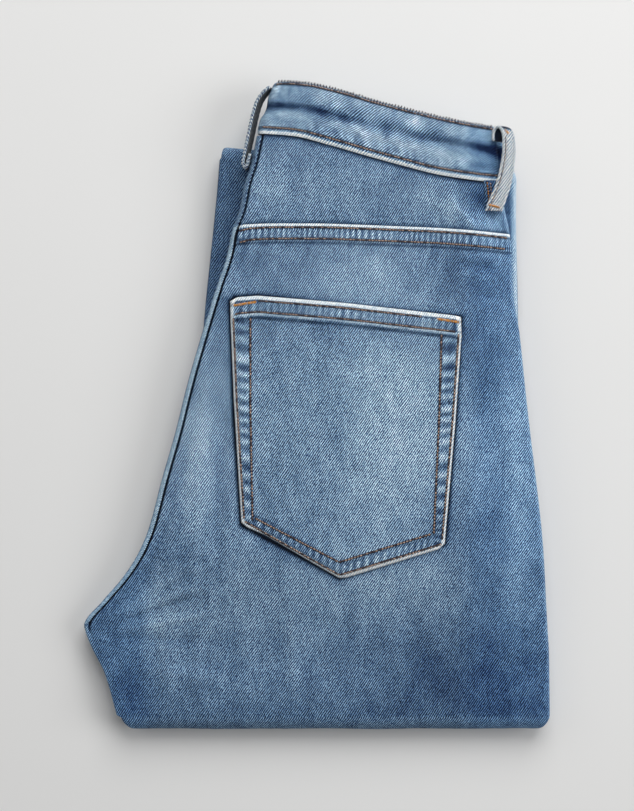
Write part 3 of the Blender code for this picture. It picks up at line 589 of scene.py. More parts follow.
class Form:
    """Heights of the top layer, shared by everything that lies on it."""

    @staticmethod
    def relief(folds: Sequence[Fold], x: Array, y: Array) -> Array:
        """Sum of soft ridges and troughs.

        Args:
            folds: The ridges and troughs.
            x: Places across the legs.
            y: Places toward the waist.

        Returns:
            Height added at each place.
        """
        total = np.zeros(np.broadcast(x, y).shape)
        for fold in folds:
            ax, ay = fold.x1 - fold.x0, fold.y1 - fold.y0
            length = math.hypot(ax, ay)
            share = ((x - fold.x0) * ax + (y - fold.y0) * ay) / length ** 2
            side = (ax * (y - fold.y0) - ay * (x - fold.x0)) / length
            taper = ease(share / 0.3) * ease((1 - share) / 0.3)
            total += fold.rise * taper * np.exp(-2 * (side / fold.width) ** 2)
        return total

    @staticmethod
    def thickness(x: Array, y: Array) -> Array:
        """Thickness of the four plies."""
        share = np.clip((x - WAIST_LEFT) / WAIST_WIDTH, 0.0, 1.0)
        seam = waist("seam", share)
        band = waist("bottom", share)
        return PACK + (YOKE_PACK - PACK) * ease((y - seam) / (band - seam))

    @staticmethod
    def underside(x: Array, y: Array) -> Array:
        """Height of the lower face, with the droop of the free edge."""
        overhang = np.maximum(0.0, curve(LEG_OUTLINE, "left", y) - x)
        return curve(TOP_UNDERSIDE, "height", y) - EDGE_DROOP * (overhang / DROOP_SPAN) ** 1.5

    @classmethod
    def top(cls, x: Array, y: Array, left: Array, right: Array) -> Array:
        """Height of the upper face, with its folds and creases.

        Args:
            x: Places across the legs.
            y: Places toward the waist.
            left: Left edge at each place.
            right: Right edge at each place.

        Returns:
            Height of the cloth.
        """
        inner = np.minimum(x - left, right - x)
        window = ease((inner - 2.0) / 16.0)
        near = ease((inner - 1.0) / 7.0)
        nose = ease((y + 200.0) / 22.0)
        crown = CROWN * ease(inner / CROWN_SPAN) * nose
        soft = 0.16 * BROAD.at(x / 19.0, y / 31.0) + 0.07 * SMALL.at(x / 6.5, y / 9.0)
        fine = cls.relief(CREASES, x, y) + soft
        base = cls.underside(x, y) + cls.thickness(x, y) + crown
        return base + window * nose * cls.relief(FOLDS, x, y) + near * ease((y + 203.0) / 8.0) * fine

    @classmethod
    def skin(cls, x: Array, y: Array) -> Array:
        """Height of the upper face of the panel or yoke at a place, away from its edges."""
        left = curve(TOP_OUTLINE, "left", y)
        right = curve(TOP_OUTLINE, "right", y)
        return cls.top(x, y, left, right)


class Station:
    """One line across the folded pack; depth is counted from either face of it."""

    def __init__(self, left: float, right: float, length: float, seat: float = 0.0,
                 shell_seat: float = 0.0) -> None:
        """Set the edges of the line, and how far the left leg's edges stand in."""
        self.left = float(left)
        self.right = float(right)
        self.left_step = float(curve(LEG_STEPS, "left", length)) * (1 - seat)
        self.right_step = float(curve(LEG_STEPS, "right", length))
        self.seat = float(seat)
        self.shell_seat = float(shell_seat)

    def share(self, x: Array) -> Array:
        """Share of the way from the left to the right edge."""
        return np.clip((x - self.left) / (self.right - self.left), 0.0, 1.0)

    def thickness(self, x: float) -> float:
        """Thickness of the pack at x."""
        return PACK

    def nose(self, bottom: bool) -> float:
        """How far out this line is on the bottom or the top fold, from 0 to 1."""
        return 0.0

    def from_right(self, x: Array, depth: Array) -> Array:
        """Points at a depth from the right leg's face."""
        raise NotImplementedError

    def from_left(self, x: Array, depth: Array) -> Array:
        """Points at a depth from the left leg's face."""
        raise NotImplementedError


class TopStation(Station):
    """A line across the top layer; its row is a function of the share across it."""

    def __init__(self, row: RowLine, length: float, seat: float,
                 shell_seat: float) -> None:
        """Find the edges where the row meets them."""
        self.row = row
        left = curve(TOP_OUTLINE, "left", row(np.array(0.0)))
        right = curve(TOP_OUTLINE, "right", row(np.array(1.0)))
        super().__init__(left, right, length, seat, shell_seat)

    def thickness(self, x: float) -> float:
        """Thickness of the pack at x."""
        at = np.array(float(x))
        return float(Form.thickness(at, self.row(self.share(at))))

    def from_right(self, x: Array, depth: Array) -> Array:
        """Points at a depth from the right leg's face."""
        y = self.row(self.share(x)) + 0 * x
        return np.stack([x, y, Form.top(x, y, self.left, self.right) - depth], axis=-1)

    def from_left(self, x: Array, depth: Array) -> Array:
        """Points at a depth from the left leg's face."""
        y = self.row(self.share(x)) + 0 * x
        return np.stack([x, y, Form.underside(x, y) + depth], axis=-1)


class FoldStation(Station):
    """A line across one of the two folds, at an angle round it."""

    def __init__(self, angle: float, bottom: bool, length: float) -> None:
        """Set the line at an angle, in degrees, round the bottom or the top fold."""
        self.angle = math.radians(angle)
        self.bottom = bottom
        self.bore = BOTTOM_FOLD_BORE if bottom else TOP_FOLD_BORE
        self.radius = self.bore + PACK
        inset = (FOLD_CORNER if bottom else TOP_FOLD_CORNER) * math.cos(self.angle) ** 2
        y = BOTTOM_FOLD_Y if bottom else LEG_TOP_Y
        left = curve(LEG_OUTLINE, "left", y) + inset
        right = curve(LEG_OUTLINE, "right", y) - inset * 0.8
        super().__init__(left, right, length)

    def nose(self, bottom: bool) -> float:
        """How far out this line is on its fold."""
        return math.cos(self.angle) if self.bottom == bottom else 0.0

    def place(self, x: Array, radius: Array) -> Array:
        """Points at a radius from the fold's axis."""
        uneven = 0.25 * BROAD.at(x / 16.0, 7.0 + self.angle) + 0.12 * SMALL.at(x / 5.0, 4.0 + self.angle)
        radius = radius + uneven * math.cos(self.angle)
        out = math.cos(self.angle) * radius
        up = math.sin(self.angle) * radius
        if self.bottom:
            return np.stack([x, BOTTOM_FOLD_Y + self.radius - out, self.radius + up], axis=-1)
        edge = TOP_FOLD_Y + TOP_FOLD_SLOPE * x
        return np.stack([x, edge - self.radius + out, self.radius + up], axis=-1)

    def from_right(self, x: Array, depth: Array) -> Array:
        """Points at a depth from the right leg's face."""
        return self.place(x, self.radius - depth if self.bottom else self.bore + depth)

    def from_left(self, x: Array, depth: Array) -> Array:
        """Points at a depth from the left leg's face."""
        return self.place(x, self.bore + depth if self.bottom else self.radius - depth)


class LegStation(Station):
    """A line across the leg between the two folds; the right leg's face looks down."""

    def __init__(self, part: float, length: float) -> None:
        """Set the line part of the way from the bottom fold to the top fold."""
        self.part = part
        y = blend(BOTTOM_FOLD_Y + BOTTOM_FOLD_BORE + PACK, TOP_FOLD_Y - PACK, part)
        super().__init__(curve(LEG_OUTLINE, "left", y), curve(LEG_OUTLINE, "right", y), length)

    def row(self, x: Array) -> Array:
        """Row of this line at x."""
        start = BOTTOM_FOLD_Y + BOTTOM_FOLD_BORE + PACK
        end = TOP_FOLD_Y + TOP_FOLD_SLOPE * x - TOP_FOLD_BORE - PACK
        return start + (end - start) * self.part

    def base(self, x: Array) -> Array:
        """Height of the lower face."""
        y = self.row(x)
        return 9.0 * ease((y + 152.0) / 70.0) + 0.6 * ease((y - 110.0) / 40.0)

    def from_right(self, x: Array, depth: Array) -> Array:
        """Points at a depth from the right leg's face."""
        return np.stack([x, self.row(x), self.base(x) + depth], axis=-1)

    def from_left(self, x: Array, depth: Array) -> Array:
        """Points at a depth from the left leg's face."""
        y = self.row(x)
        soft = 0.10 * BROAD.at(x / 17.0 + 40, y / 25.0) * ease((y - 120.0) / 20.0)
        return np.stack([x, y, self.base(x) + PACK - depth + soft], axis=-1)


class CuffStation(Station):
    """A line across the lowest stretch of leg; the left leg's face lies on the floor."""

    def __init__(self, part: float, length: float) -> None:
        """Set the line part of the way from the top fold to the hem."""
        self.part = part
        y = blend(TOP_FOLD_Y - PACK, HEM_Y, part)
        super().__init__(curve(CUFF_OUTLINE, "left", y), curve(CUFF_OUTLINE, "right", y), length)

    def row(self, x: Array) -> Array:
        """Row of this line at x."""
        start = TOP_FOLD_Y + TOP_FOLD_SLOPE * x - TOP_FOLD_BORE - PACK
        return start + (HEM_Y - start) * self.part

    def from_right(self, x: Array, depth: Array) -> Array:
        """Points at a depth from the right leg's face."""
        return np.stack([x, self.row(x), PACK - depth + 0 * x], axis=-1)

    def from_left(self, x: Array, depth: Array) -> Array:
        """Points at a depth from the left leg's face."""
        return np.stack([x, self.row(x), depth + 0 * x], axis=-1)


def seam_row(offset: float) -> RowLine:
    """Row that follows the yoke seam."""
    return lambda share: waist("seam", share) - offset


def yoke_row(part: float, dip: float = 0.0, gap: float = 0.0) -> RowLine:
    """Row between the band's lower edge and the yoke seam."""
    def row(share: Array) -> Array:
        """Row at a share across."""
        band = waist("bottom", share) - gap - dip * (1 - share) ** 1.5
        seam = waist("seam", share)
        return band + (seam - band) * part
    return row


def level_row(y: float) -> RowLine:
    """Row across the top layer, evened out from the curve of the yoke seam."""
    bend = 0.55 * float(ease((y - 20.0) / 80.0))
    return lambda share: y + bend * (waist("seam", share) - SEAM_LEVEL)


def between_rows(upper: RowLine, lower: RowLine,
                 part: float) -> RowLine:
    """Row part of the way from one row to another."""
    return lambda share: upper(share) * (1 - part) + lower(share) * part


def top_stations(pitch: float) -> list[Station]:
    """Rows of the top layer from the yoke seam to the bottom fold."""
    rows = [seam_row(offset) for offset in np.arange(0.0, FOLLOW_SEAM, pitch)]
    rows += [between_rows(seam_row(FOLLOW_SEAM), level_row(LEVEL_START), t)
             for t in np.arange(0.0, 1.0, pitch / 14.0)]
    rows += [level_row(y) for y in np.arange(LEVEL_START, LEVEL_END, -pitch)] + [level_row(LEVEL_END)]
    made = []
    for index, row in enumerate(rows):
        y = float(row(np.array(0.0)))
        inner = float(ease((y + 168.0) / 14.0))
        shell = float(ease((y + 150.0) / 12.0))
        made.append(TopStation(row, 0.33 * index / len(rows), inner, shell))
    return made


def lower_stations(turns: int, leg_rows: int, cuff_rows: int) -> list[Station]:
    """The bottom fold, the leg, the top fold and the stretch down to the hem."""
    hem = 1 - (HEM_HEIGHT + 0.3) / (TOP_FOLD_Y - PACK - HEM_Y)
    angles = np.linspace(90, -90, turns + 2)[1:-1]
    made: list[Station] = [FoldStation(a, True, 0.36) for a in angles]
    made += [LegStation(p, 0.4 + 0.3 * p) for p in np.linspace(0, 1, leg_rows)]
    made += [FoldStation(a, False, 0.72) for a in angles]
    made += [CuffStation(p, 0.75 + 0.25 * p) for p in np.linspace(0, hem, cuff_rows)]
    return made


class Look(NamedTuple):
    """Worn whitening with painted highlight (0 none, 1 white), fading with painted light and shade (0.5 even), and
    darkening by deeper dye and painted shade (0 none, 1 dark) at each point.
    """

    # Worn whitening, with a painted highlight along the bottom fold's nose and the lower leg's right edge
    wear: Array
    # Fading of the wash, with painted light and shade on the creases, the band and some patches
    fade: Array
    # Darkening: deeper dye, and painted shade in grooves, under edges, beside seams and stitches and on shaded faces
    deep: Array

    def tint(self, x: Array) -> Array:
        """Blueness, which follows the darker cloth and the painted shade in creases and beside seams, and rises toward
        both sides.
        """
        sides = ease((np.abs(x + 5.0) - 92.0) / 22.0)
        return np.clip(0.26 + 0.6 * (0.5 - self.fade) + 0.5 * self.deep + 0.55 * sides, 0.0, 1.0)


class WearAndShade:
    """How the cloth is faded and worn, and the light and shade that are painted on it."""

    @staticmethod
    def fade(x: Array, y: Array) -> Array:
        """Broad fading of the top layer, with painted light and shade in some of its patches."""
        total = np.zeros(np.broadcast(x, y).shape)
        for patch in FADE_AND_SHADE_PATCHES:
            turn = math.radians(patch.turn)
            dx, dy = x - patch.x, y - patch.y
            u = (dx * math.cos(turn) + dy * math.sin(turn)) / patch.wide
            v = (dy * math.cos(turn) - dx * math.sin(turn)) / patch.tall
            total += patch.amount * np.exp(-0.5 * (u * u + v * v))
        return total + 0.03 * BROAD.at(x / 14.0 + 9, y / 22.0) + 0.015 * SMALL.at(x / 5.0, y / 16.0)

    @staticmethod
    def crest(x: Array, y: Array) -> Array:
        """Paler ridges and darker troughs of the creases: painted light and shade that follows the relief, with the
        ridges also worn pale.
        """
        return 0.10 * Form.relief(CREASES, x, y) + 0.06 * Form.relief(FOLDS, x, y)


@dataclass
class Cloth:
    """A sheet of cloth on a grid of points, in millimetres."""

    name: str
    nodes: Sequence[str]
    points: Array
    across: Array
    along: Array
    look: Look
    slot: str
    wall: float = CLOTH
    closed: bool = False
    margin: int = 3

    def _rimmed(self) -> tuple[Array, Array, Array, Look]:
        """Grid with its edges turned in by the cloth's thickness."""
        normals = self._normals(self.points)
        inside = self.points - normals * self.wall
        columns = list(range(self.points.shape[1]))
        rows = list(range(self.points.shape[0]))
        near, far = self.margin, -1 - self.margin

        def widen(outer: Array, inner: Array) -> tuple[Array, Array]:
            """Add the turned-in left and right edges."""
            if self.closed:
                return outer, inner
            made = np.concatenate([inner[:, [columns[near], 0]], outer, inner[:, [-1, columns[far]]]], axis=1)
            back = np.concatenate([inner[:, [columns[near], 0]], inner, inner[:, [-1, columns[far]]]], axis=1)
            return made, back

        def deepen(outer: Array, inner: Array) -> Array:
            """Add the turned-in upper and lower edges."""
            return np.concatenate([inner[[rows[near], 0]], outer, inner[[-1, rows[far]]]], axis=0)

        grid = deepen(*widen(self.points, inside))
        fields = [self.across, self.along, *self.look]
        spread = [deepen(*widen(f[..., None], f[..., None]))[..., 0] for f in fields]
        return grid, spread[0], spread[1], Look(*spread[2:])

    @staticmethod
    def _normals(points: Array) -> Array:
        """Unit normals of a grid of points."""
        down = np.gradient(points, axis=0)
        over = np.gradient(points, axis=1)
        normal = np.cross(over, -down)
        return normal / np.maximum(np.linalg.norm(normal, axis=-1, keepdims=True), 1e-9)

    def build(self, material: Material) -> Object:
        """Make the mesh object.

        Args:
            material: Its cloth.

        Returns:
            The new object, riding on the root.
        """
        grid, across, along, look = self._rimmed()
        rows, cols = grid.shape[:2]
        index = np.arange(rows * cols).reshape(rows, cols)
        if self.closed:
            right = np.roll(index, -1, axis=1)
            quads = np.stack([index[:-1], index[1:], right[1:], right[:-1]], axis=-1)
        else:
            quads = np.stack([index[:-1, :-1], index[1:, :-1], index[1:, 1:], index[:-1, 1:]], axis=-1)
        return make_object(self.name, grid, quads, material, self.nodes, self.slot, across, along, look)


def make_object(name: str, points: Array, faces: Array, material: Material,
                nodes: Sequence[str], slot: str, across: Optional[Array] = None,
                along: Optional[Array] = None, look: Optional[Look] = None) -> Object:
    """Mesh object from points in millimetres, with its cloth coordinates and wear.

    Args:
        name: Name of the piece.
        points: Corner points.
        faces: Corners of each face.
        material: Surface.
        nodes: CAD nodes that it stands for.
        slot: Material slot of the record.
        across: Cloth coordinate across the grain, in millimetres.
        along: Cloth coordinate along the grain, in millimetres.
        look: Worn whitening, fading and darkening at each point, with their painted light and shade.

    Returns:
        The new object.
    """
    mesh = bpy.data.meshes.new(name)
    points, faces = points.reshape(-1, 3), faces.reshape(-1, faces.shape[-1])
    mesh.from_pydata((points * MM).tolist(), [], faces.tolist())
    mesh.polygons.foreach_set("use_smooth", np.ones(len(mesh.polygons), dtype=bool))
    if across is not None:
        corner = np.empty(len(mesh.loops), dtype=np.int32)
        mesh.loops.foreach_get("vertex_index", corner)
        layer = mesh.uv_layers.new(name="cloth")
        cloth = np.stack([across.ravel()[corner], along.ravel()[corner]], axis=-1)
        layer.uv.foreach_set("vector", cloth.ravel() * MM)
    if look is not None:
        look = Look(*(part.ravel() for part in look))
        tint = mesh.attributes.new("look", "FLOAT_COLOR", "POINT")
        packed = np.stack([look.wear, look.fade, look.deep, look.tint(points[:, 0])], axis=-1)
        tint.data.foreach_set("color", np.clip(packed, 0.0, 2.0).astype(np.float32).ravel())
    made = bpy.data.objects.new(name, mesh)
    mesh.materials.append(material)
    bpy.context.scene.collection.objects.link(made)
    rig.ride(made, "root")
    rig.slot(made, slot)
    if nodes:
        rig.replaces(made, *nodes)
    log.info("%s: %d faces", name, len(faces))
    return made


class Panel:
    """Cross-sections of the two back panels."""

    @staticmethod
    def edge(reach: float, height: float, angles: Array) -> tuple[Array, Array]:
        """Inward distance and depth round an edge."""
        turn = np.radians(angles)
        return reach * (1 - np.cos(turn)), height * (1 - np.sin(turn))

    @staticmethod
    def seat_edge(station: Station) -> tuple[float, float]:
        """Reach and height of the rounded edge beside the seat seam."""
        thick = station.thickness(station.left)
        seat = station.shell_seat
        return blend(TUBE_REACH, SEAT_REACH, seat), blend(thick / 4, thick / 2, seat)

    @classmethod
    def right_line(cls, station: Station, shares: Array, turns: int) -> tuple[Array, Array]:
        """Places and depths across the right leg's back.

        Args:
            station: The line across.
            shares: Shares across the flat.
            turns: Points round each edge.

        Returns:
            x, and the depth below the right leg's face.
        """
        reach, height = cls.seat_edge(station)
        start = blend(SEAM_EDGE_ANGLE, SEAT_SEAM_ANGLE, station.shell_seat)
        left_in, left_deep = cls.edge(reach, height, np.linspace(start, 90.0, turns, endpoint=False))
        side = station.thickness(station.right) / 4
        right_in, right_deep = cls.edge(TUBE_REACH, side, np.linspace(90.0, SEAM_EDGE_ANGLE, turns + 1)[1:])
        flat = station.left + reach + (station.right - TUBE_REACH - station.left - reach) * shares
        x = np.concatenate([station.left + left_in, flat, station.right - right_in])
        return x, np.concatenate([left_deep, np.zeros_like(flat), right_deep])

    @classmethod
    def left_line(cls, station: Station, shares: Array, turns: int) -> tuple[Array, Array]:
        """Places across the left leg's back, and the depth above its face.

        Args:
            station: The line across.
            shares: Shares across the flat.
            turns: Points round each edge.

        Returns:
            x, and the depth above the left leg's face.
        """
        reach, height = cls.seat_edge(station)
        start = blend(-SEAM_EDGE_ANGLE, SEAT_SEAM_ANGLE - 6.0, station.shell_seat)
        left_in, left_deep = cls.edge(reach, height, np.linspace(start, -90.0, turns, endpoint=False))
        side = station.thickness(station.right) / 4
        right_in, right_deep = cls.edge(TUBE_REACH, side, np.linspace(-90.0, -SEAM_EDGE_ANGLE, turns)[1:])
        left = station.left + station.left_step
        right = station.right - station.right_step
        flat = left + reach + (right - TUBE_REACH - left - reach) * shares
        x = np.concatenate([left + left_in, flat, right - right_in])
        return x, np.concatenate([2 * height - left_deep, np.zeros_like(flat), 2 * side - right_deep])


def lengths(points: Array, centre: int) -> tuple[Array, Array]:
    """Distances across and along a grid of points, from its centre column and first row."""
    step = np.linalg.norm(np.diff(points, axis=1), axis=-1)
    across = np.concatenate([np.zeros((len(points), 1)), np.cumsum(step, axis=1)], axis=1)
    across -= across[:, centre:centre + 1] - points[:, centre:centre + 1, 0]
    down = np.linalg.norm(np.diff(points[:, centre], axis=0), axis=-1)
    along = points[0, centre, 1] - running(down)
    return across, np.repeat(along[:, None], points.shape[1], axis=1)


def running(steps: Array) -> Array:
    """Running total of steps, from 0."""
    return np.concatenate([[0.0], np.cumsum(steps)])


def around(rings: Array) -> Array:
    """Distance round each closed ring of points."""
    return np.cumsum(np.linalg.norm(np.roll(rings, -1, axis=1) - rings, axis=-1), axis=1)


def each(stations: Sequence[Station], read: Callable[[Station], float]) -> Array:
    """One number of every station, as a column."""
    return np.array([read(s) for s in stations])[:, None]


@dataclass
class Jeans:
    """The folded jeans, one method for each sewn piece."""

    materials: "Materials"
    coarse: bool = field(default_factory=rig.quick)
    surfaces: dict[str, BVHTree] = field(default_factory=dict)
    pieces: dict[str, Object] = field(default_factory=dict)

    def pick(self, quick: float, full: float) -> float:
        """A setting's value for a quick or a full run."""
        return quick if self.coarse else full

    def keep(self, name: str, made: Object) -> None:
        """Keep a piece, and its surface for the stitches."""
        self.pieces[name] = made
        corners = [v.co.copy() for v in made.data.vertices]
        self.surfaces[name] = BVHTree.FromPolygons(corners, [tuple(p.vertices) for p in made.data.polygons])

    def add(self, cloth: Cloth, kind: "Kind") -> None:
        """Build one sheet of cloth."""
        self.keep(cloth.name, cloth.build(self.materials.get(kind)))

    def add_rings(self, name: str, node: str, slot: str, kind: "Kind", grid: Array, across: Array,
                  along: Array, look: Look) -> None:
        """Build one piece from closed rings of points.

        Args:
            name: Name of the piece.
            node: CAD node that it stands for.
            slot: Material slot of the record.
            kind: Which denim.
            grid: Rings of points, each ring closed.
            across: Cloth coordinate across the grain.
            along: Cloth coordinate along the grain.
            look: Worn whitening, fading and darkening at each point, with their painted light and shade.
        """
        rows, cols = grid.shape[:2]
        index = np.arange(rows * cols).reshape(rows, cols)
        right = np.roll(index, -1, axis=1)
        quads = np.stack([index[:-1], right[:-1], right[1:], index[1:]], axis=-1)
        self.keep(name, make_object(name, grid, quads, self.materials.get(kind), [node], slot, across, along,
                                    look))

    def right_back(self) -> None:
        """Right back panel: from the yoke seam, round the bottom fold, to the hem."""
        pitch = self.pick(2.6, 1.35)
        count = self.pick(110, 205)
        shares = shares_of(count)
        stations = top_stations(pitch) + lower_stations(14, 60, 24)
        rows = []
        for station in stations:
            points = station.from_right(*Panel.right_line(station, shares, 7))
            if isinstance(station, TopStation):
                points[:, 2] += self.panel_seams(points[:, 0], points[:, 1], station)
            rows.append(points)
        grid = np.array(rows)
        across, along = lengths(grid, count // 2)
        tops = sum(isinstance(s, TopStation) for s in stations)
        along[:tops] = grid[:tops, :, 1]
        along[tops:] += grid[tops - 1, count // 2, 1] - along[tops - 1, count // 2]
        along[tops:] += along[tops - 1, 0] - along[tops, 0] - pitch
        self.add(Cloth("right_back_cloth", ["right_back_panel"], grid, across, along,
                       self.panel_look(grid, stations), "denim_blue"), Kind.PANEL)

    @staticmethod
    def panel_seams(x: Array, y: Array, station: Station) -> Array:
        """Relief of the felled yoke seam, the seat seam's ridge and the pocket's pull."""
        below = waist("seam", station.share(x)) - y
        inner = x - station.left
        seat = station.shell_seat
        fell = FELL_RISE * (1 - ease((below - FELL_WIDTH) / 1.2)) * ease((below + 0.2) / 0.6)
        rows = ridge(below, SEAM_ROWS[0], 0.6) + ridge(below, SEAM_ROWS[1], 0.6)
        ladder = 0.34 * pucker(x, below - 6.0, 3.6, 0.06) * stripe(below, 2.6, 9.6, 1.6)
        pull = 0.22 * pucker(x + 60, below, 9.5) * ridge(below, 14.0, 5.0)
        seam = (0.9 * stripe(inner, 1.2, 2.8, 0.8) - 1.0 * ridge(inner, 4.0, 0.9)) * seat
        seam = seam - 0.5 * ridge(inner, 2.6, 1.2) * (1 - seat)
        side = 0.18 * pucker(y, inner, 7.0) * ridge(inner, 10.0, 5.0)
        edge = 0.16 * pucker(y + 31, station.right - x, 9.0) * ridge(station.right - x, 3.0, 4.5)
        return fell - 0.24 * rows + ladder + pull + seam + side + edge

    @staticmethod
    def panel_look(grid: Array, stations: list[Station]) -> Look:
        """Worn whitening, fading, painted highlight and painted shade over the right back panel."""
        x, y = grid[..., 0], grid[..., 1]
        left = each(stations, lambda s: s.left)
        right = each(stations, lambda s: s.right)
        on_top = each(stations, lambda s: float(isinstance(s, TopStation)))
        seat = each(stations, lambda s: s.shell_seat) * on_top
        nose = each(stations, lambda s: s.nose(True))
        share = np.clip((x - left) / (right - left), 0, 1)
        below = np.where(on_top > 0, waist("seam", share) - y, 99.0)
        inner = x - left
        shade = outside(POCKET_OUTLINE, x, y)
        spots = 0.90 + 0.10 * SPOT.at(x / 1.7, y / 1.7)
        bars = pucker(x, below - 6.0, 3.6, 0.06)
        edges = ridge(inner, 0.0, 1.2) * (1 - seat) + ridge(right - x, 0.0, 1.3)
        # Fading, with painted light and shade on the creases and in some patches
        fade = (BASE_FADE + np.where(on_top > 0, WearAndShade.fade(x, y) + WearAndShade.crest(x, y), -0.06)
                + stripe(below, 2.6, 9.4, 1.0) * (0.04 + 0.34 * bars)
                + 0.06 * pucker(x + 60, below, 9.5) * ridge(below, 15.0, 5.0)
                - 0.05 * ridge(inner, 10.0, 4.0) * seat
                # Painted shade: a darker band round the pocket's outline
                - 0.05 * ridge(shade, 3.0, 3.5) * on_top)
        wear = (0.95 * stripe(below, -0.6, 1.6, 0.6) * spots
                + 0.30 * stripe(below, FELL_WIDTH - 0.1, FELL_WIDTH + 1.0, 0.6) * (0.5 + 0.5 * bars) * spots
                + 0.55 * stripe(inner, 0.5, 2.8, 0.6) * seat * spots
                + 0.26 * edges * spots * on_top
                # Painted highlight: a pale line along the nose of the bottom fold
                + 0.10 * nose ** 6 * (0.6 + 0.4 * SPOT.at(x / 3.0, 5.0)))
        # Painted shade: dark lines in the groove below the felled seam, beside its two rows of stitches, in the seat
        # seam's groove and along the pocket's edge
        deep = (0.85 * stripe(below, FELL_WIDTH + 0.9, FELL_WIDTH + 2.4, 1.2)
                + 0.75 * stripe(below, 1.7, 3.1, 0.6) + 0.55 * stripe(below, 8.9, 10.3, 0.5)
                + 1.8 * stripe(inner, 3.2, 4.9, 0.7) * seat + 1.8 * ridge(shade, 0.0, 1.6) * on_top)
        return Look(wear * (wear > 0), fade, deep)

    def left_back(self) -> None:
        """Left back panel: under the seat, between the folds, and on the floor."""
        count = self.pick(60, 120)
        shares = shares_of(count)
        stations = top_stations(self.pick(4.0, 2.6)) + lower_stations(16, 110, 70)
        grid = np.array([s.from_left(*Panel.left_line(s, shares, 12)) for s in stations])
        across, along = lengths(grid, count // 2)
        x, y, z = grid[..., 0], grid[..., 1], grid[..., 2]
        tops = each(stations, lambda s: isinstance(s, TopStation))
        seat = each(stations, lambda s: s.shell_seat)
        inner = x - each(stations, lambda s: s.left)
        # Painted light: the lower leg's right edge, which slopes down toward the side lamp, is drawn paler and whiter
        strip = ease((x - 124.0) / 4.0) * (~tops)
        lip = stripe(inner, 0.4, 4.2, 0.8) * seat
        fade = (np.where(tops, 0.46, 0.30) + 0.03 * BROAD.at(x / 12.0, along / 20.0) + 0.40 * strip
                + 0.14 * lip)
        wear = (0.55 * each(stations, lambda s: s.nose(False)) ** 3
                * (0.65 + 0.35 * SPOT.at(x / 2.2, along / 2.2))
                + 0.45 * strip * ease((z - 12.0) / 4.0)
                + 0.42 * lip * (0.7 + 0.3 * SPOT.at(inner * 2.0, y / 5.0)))
        # Painted shade: darker where this panel lies under the top layer, and a dark line at the seat's folded edge
        deep = np.where(tops, 0.25, 0.12) * (1 - lip) + 0.4 * ridge(inner, 0.0, 0.6) * seat
        self.add(Cloth("left_back_cloth", ["left_back_panel"], grid[:, ::-1], -across[:, ::-1],
                       along[:, ::-1], Look(wear[:, ::-1], fade[:, ::-1], deep[:, ::-1]), "denim_blue"),
                 Kind.PANEL)

    def front_layers(self) -> None:
        """Hidden front panels of both legs, with their layered edges."""
        stations: list[Station] = [TopStation(yoke_row(part, FRONT_DIP * (1 - part), 2.0), 0.0, 1.0, 1.0)
                                   for part in np.linspace(0.0, 0.9, 14)]
        stations += top_stations(5.0) + lower_stations(12, 60, 34)
        grid = np.array([self.layer_ring(station) for station in stations])
        across = around(grid)
        down = np.linalg.norm(np.diff(grid[:, 0], axis=0), axis=-1)
        along = np.repeat(running(down)[:, None], grid.shape[1], axis=1)
        fade = 0.42 + 0.05 * BROAD.at(across / 9.0, along / 9.0)
        wear = 0.18 + 0.12 * SPOT.at(across / 3.0, along / 2.5)
        look = Look(wear, fade, np.full_like(fade, 0.1))
        self.add(Cloth("front_layer_cloth", ["front_layers"], grid, across, along, look, "denim_inside",
                       closed=True, margin=1, wall=0.6), Kind.INSIDE)

    @staticmethod
    def layer_ring(station: Station) -> Array:
        """Closed outline of the front panels at a station."""
        def edge(at: float, step: float, sign: int, seat: float) -> Array:
            """Points round one edge, from the upper leg to the lower."""
            thick = station.thickness(at)
            quarter = thick / 4
            upper = [(3.3, 1.6), (1.65, quarter + 0.15), (0.0, quarter + 0.2), (0.25, quarter * 1.4),
                     (0.9, quarter * 1.75), (2.6, quarter * 1.93)]
            points = []
            for k, (inward, depth) in enumerate([*upper, (GROOVE_DEPTH, quarter * 2), *upper[::-1]]):
                lower = k > len(upper)
                turn = math.radians(90.0 - 15.0 * k)
                shift = step if lower else (step * 0.5 if k == len(upper) else 0.0)
                round_in = SEAT_REACH - (SEAT_REACH - CLOTH - 0.9) * math.cos(turn)
                round_deep = thick / 2 - (thick / 2 - 1.6) * abs(math.sin(turn))
                x = np.array([at + sign * blend(inward + shift, round_in, seat)])
                level = np.array([blend(depth, round_deep, seat)])
                points.append((station.from_left if lower else station.from_right)(x, level)[0])
            return np.array(points)

        left = edge(station.left, station.left_step, 1, station.seat)
        right = edge(station.right, station.right_step, -1, 0.0)
        reach = blend(TUBE_REACH, SEAT_REACH, station.shell_seat)
        relief = 1.9 if isinstance(station, TopStation) else 0.0
        shares = shares_of(14)[1:-1]
        x = station.left + reach + (station.right - TUBE_REACH - station.left - reach) * shares
        top = station.from_right(x, np.full_like(x, 1.6 + relief))
        low = station.left + station.left_step + reach
        high = station.right - station.right_step - TUBE_REACH
        under = station.from_left(low + (high - low) * shares, np.full_like(x, 1.6))
        return np.concatenate([left[::-1], top, right, under[::-1]])

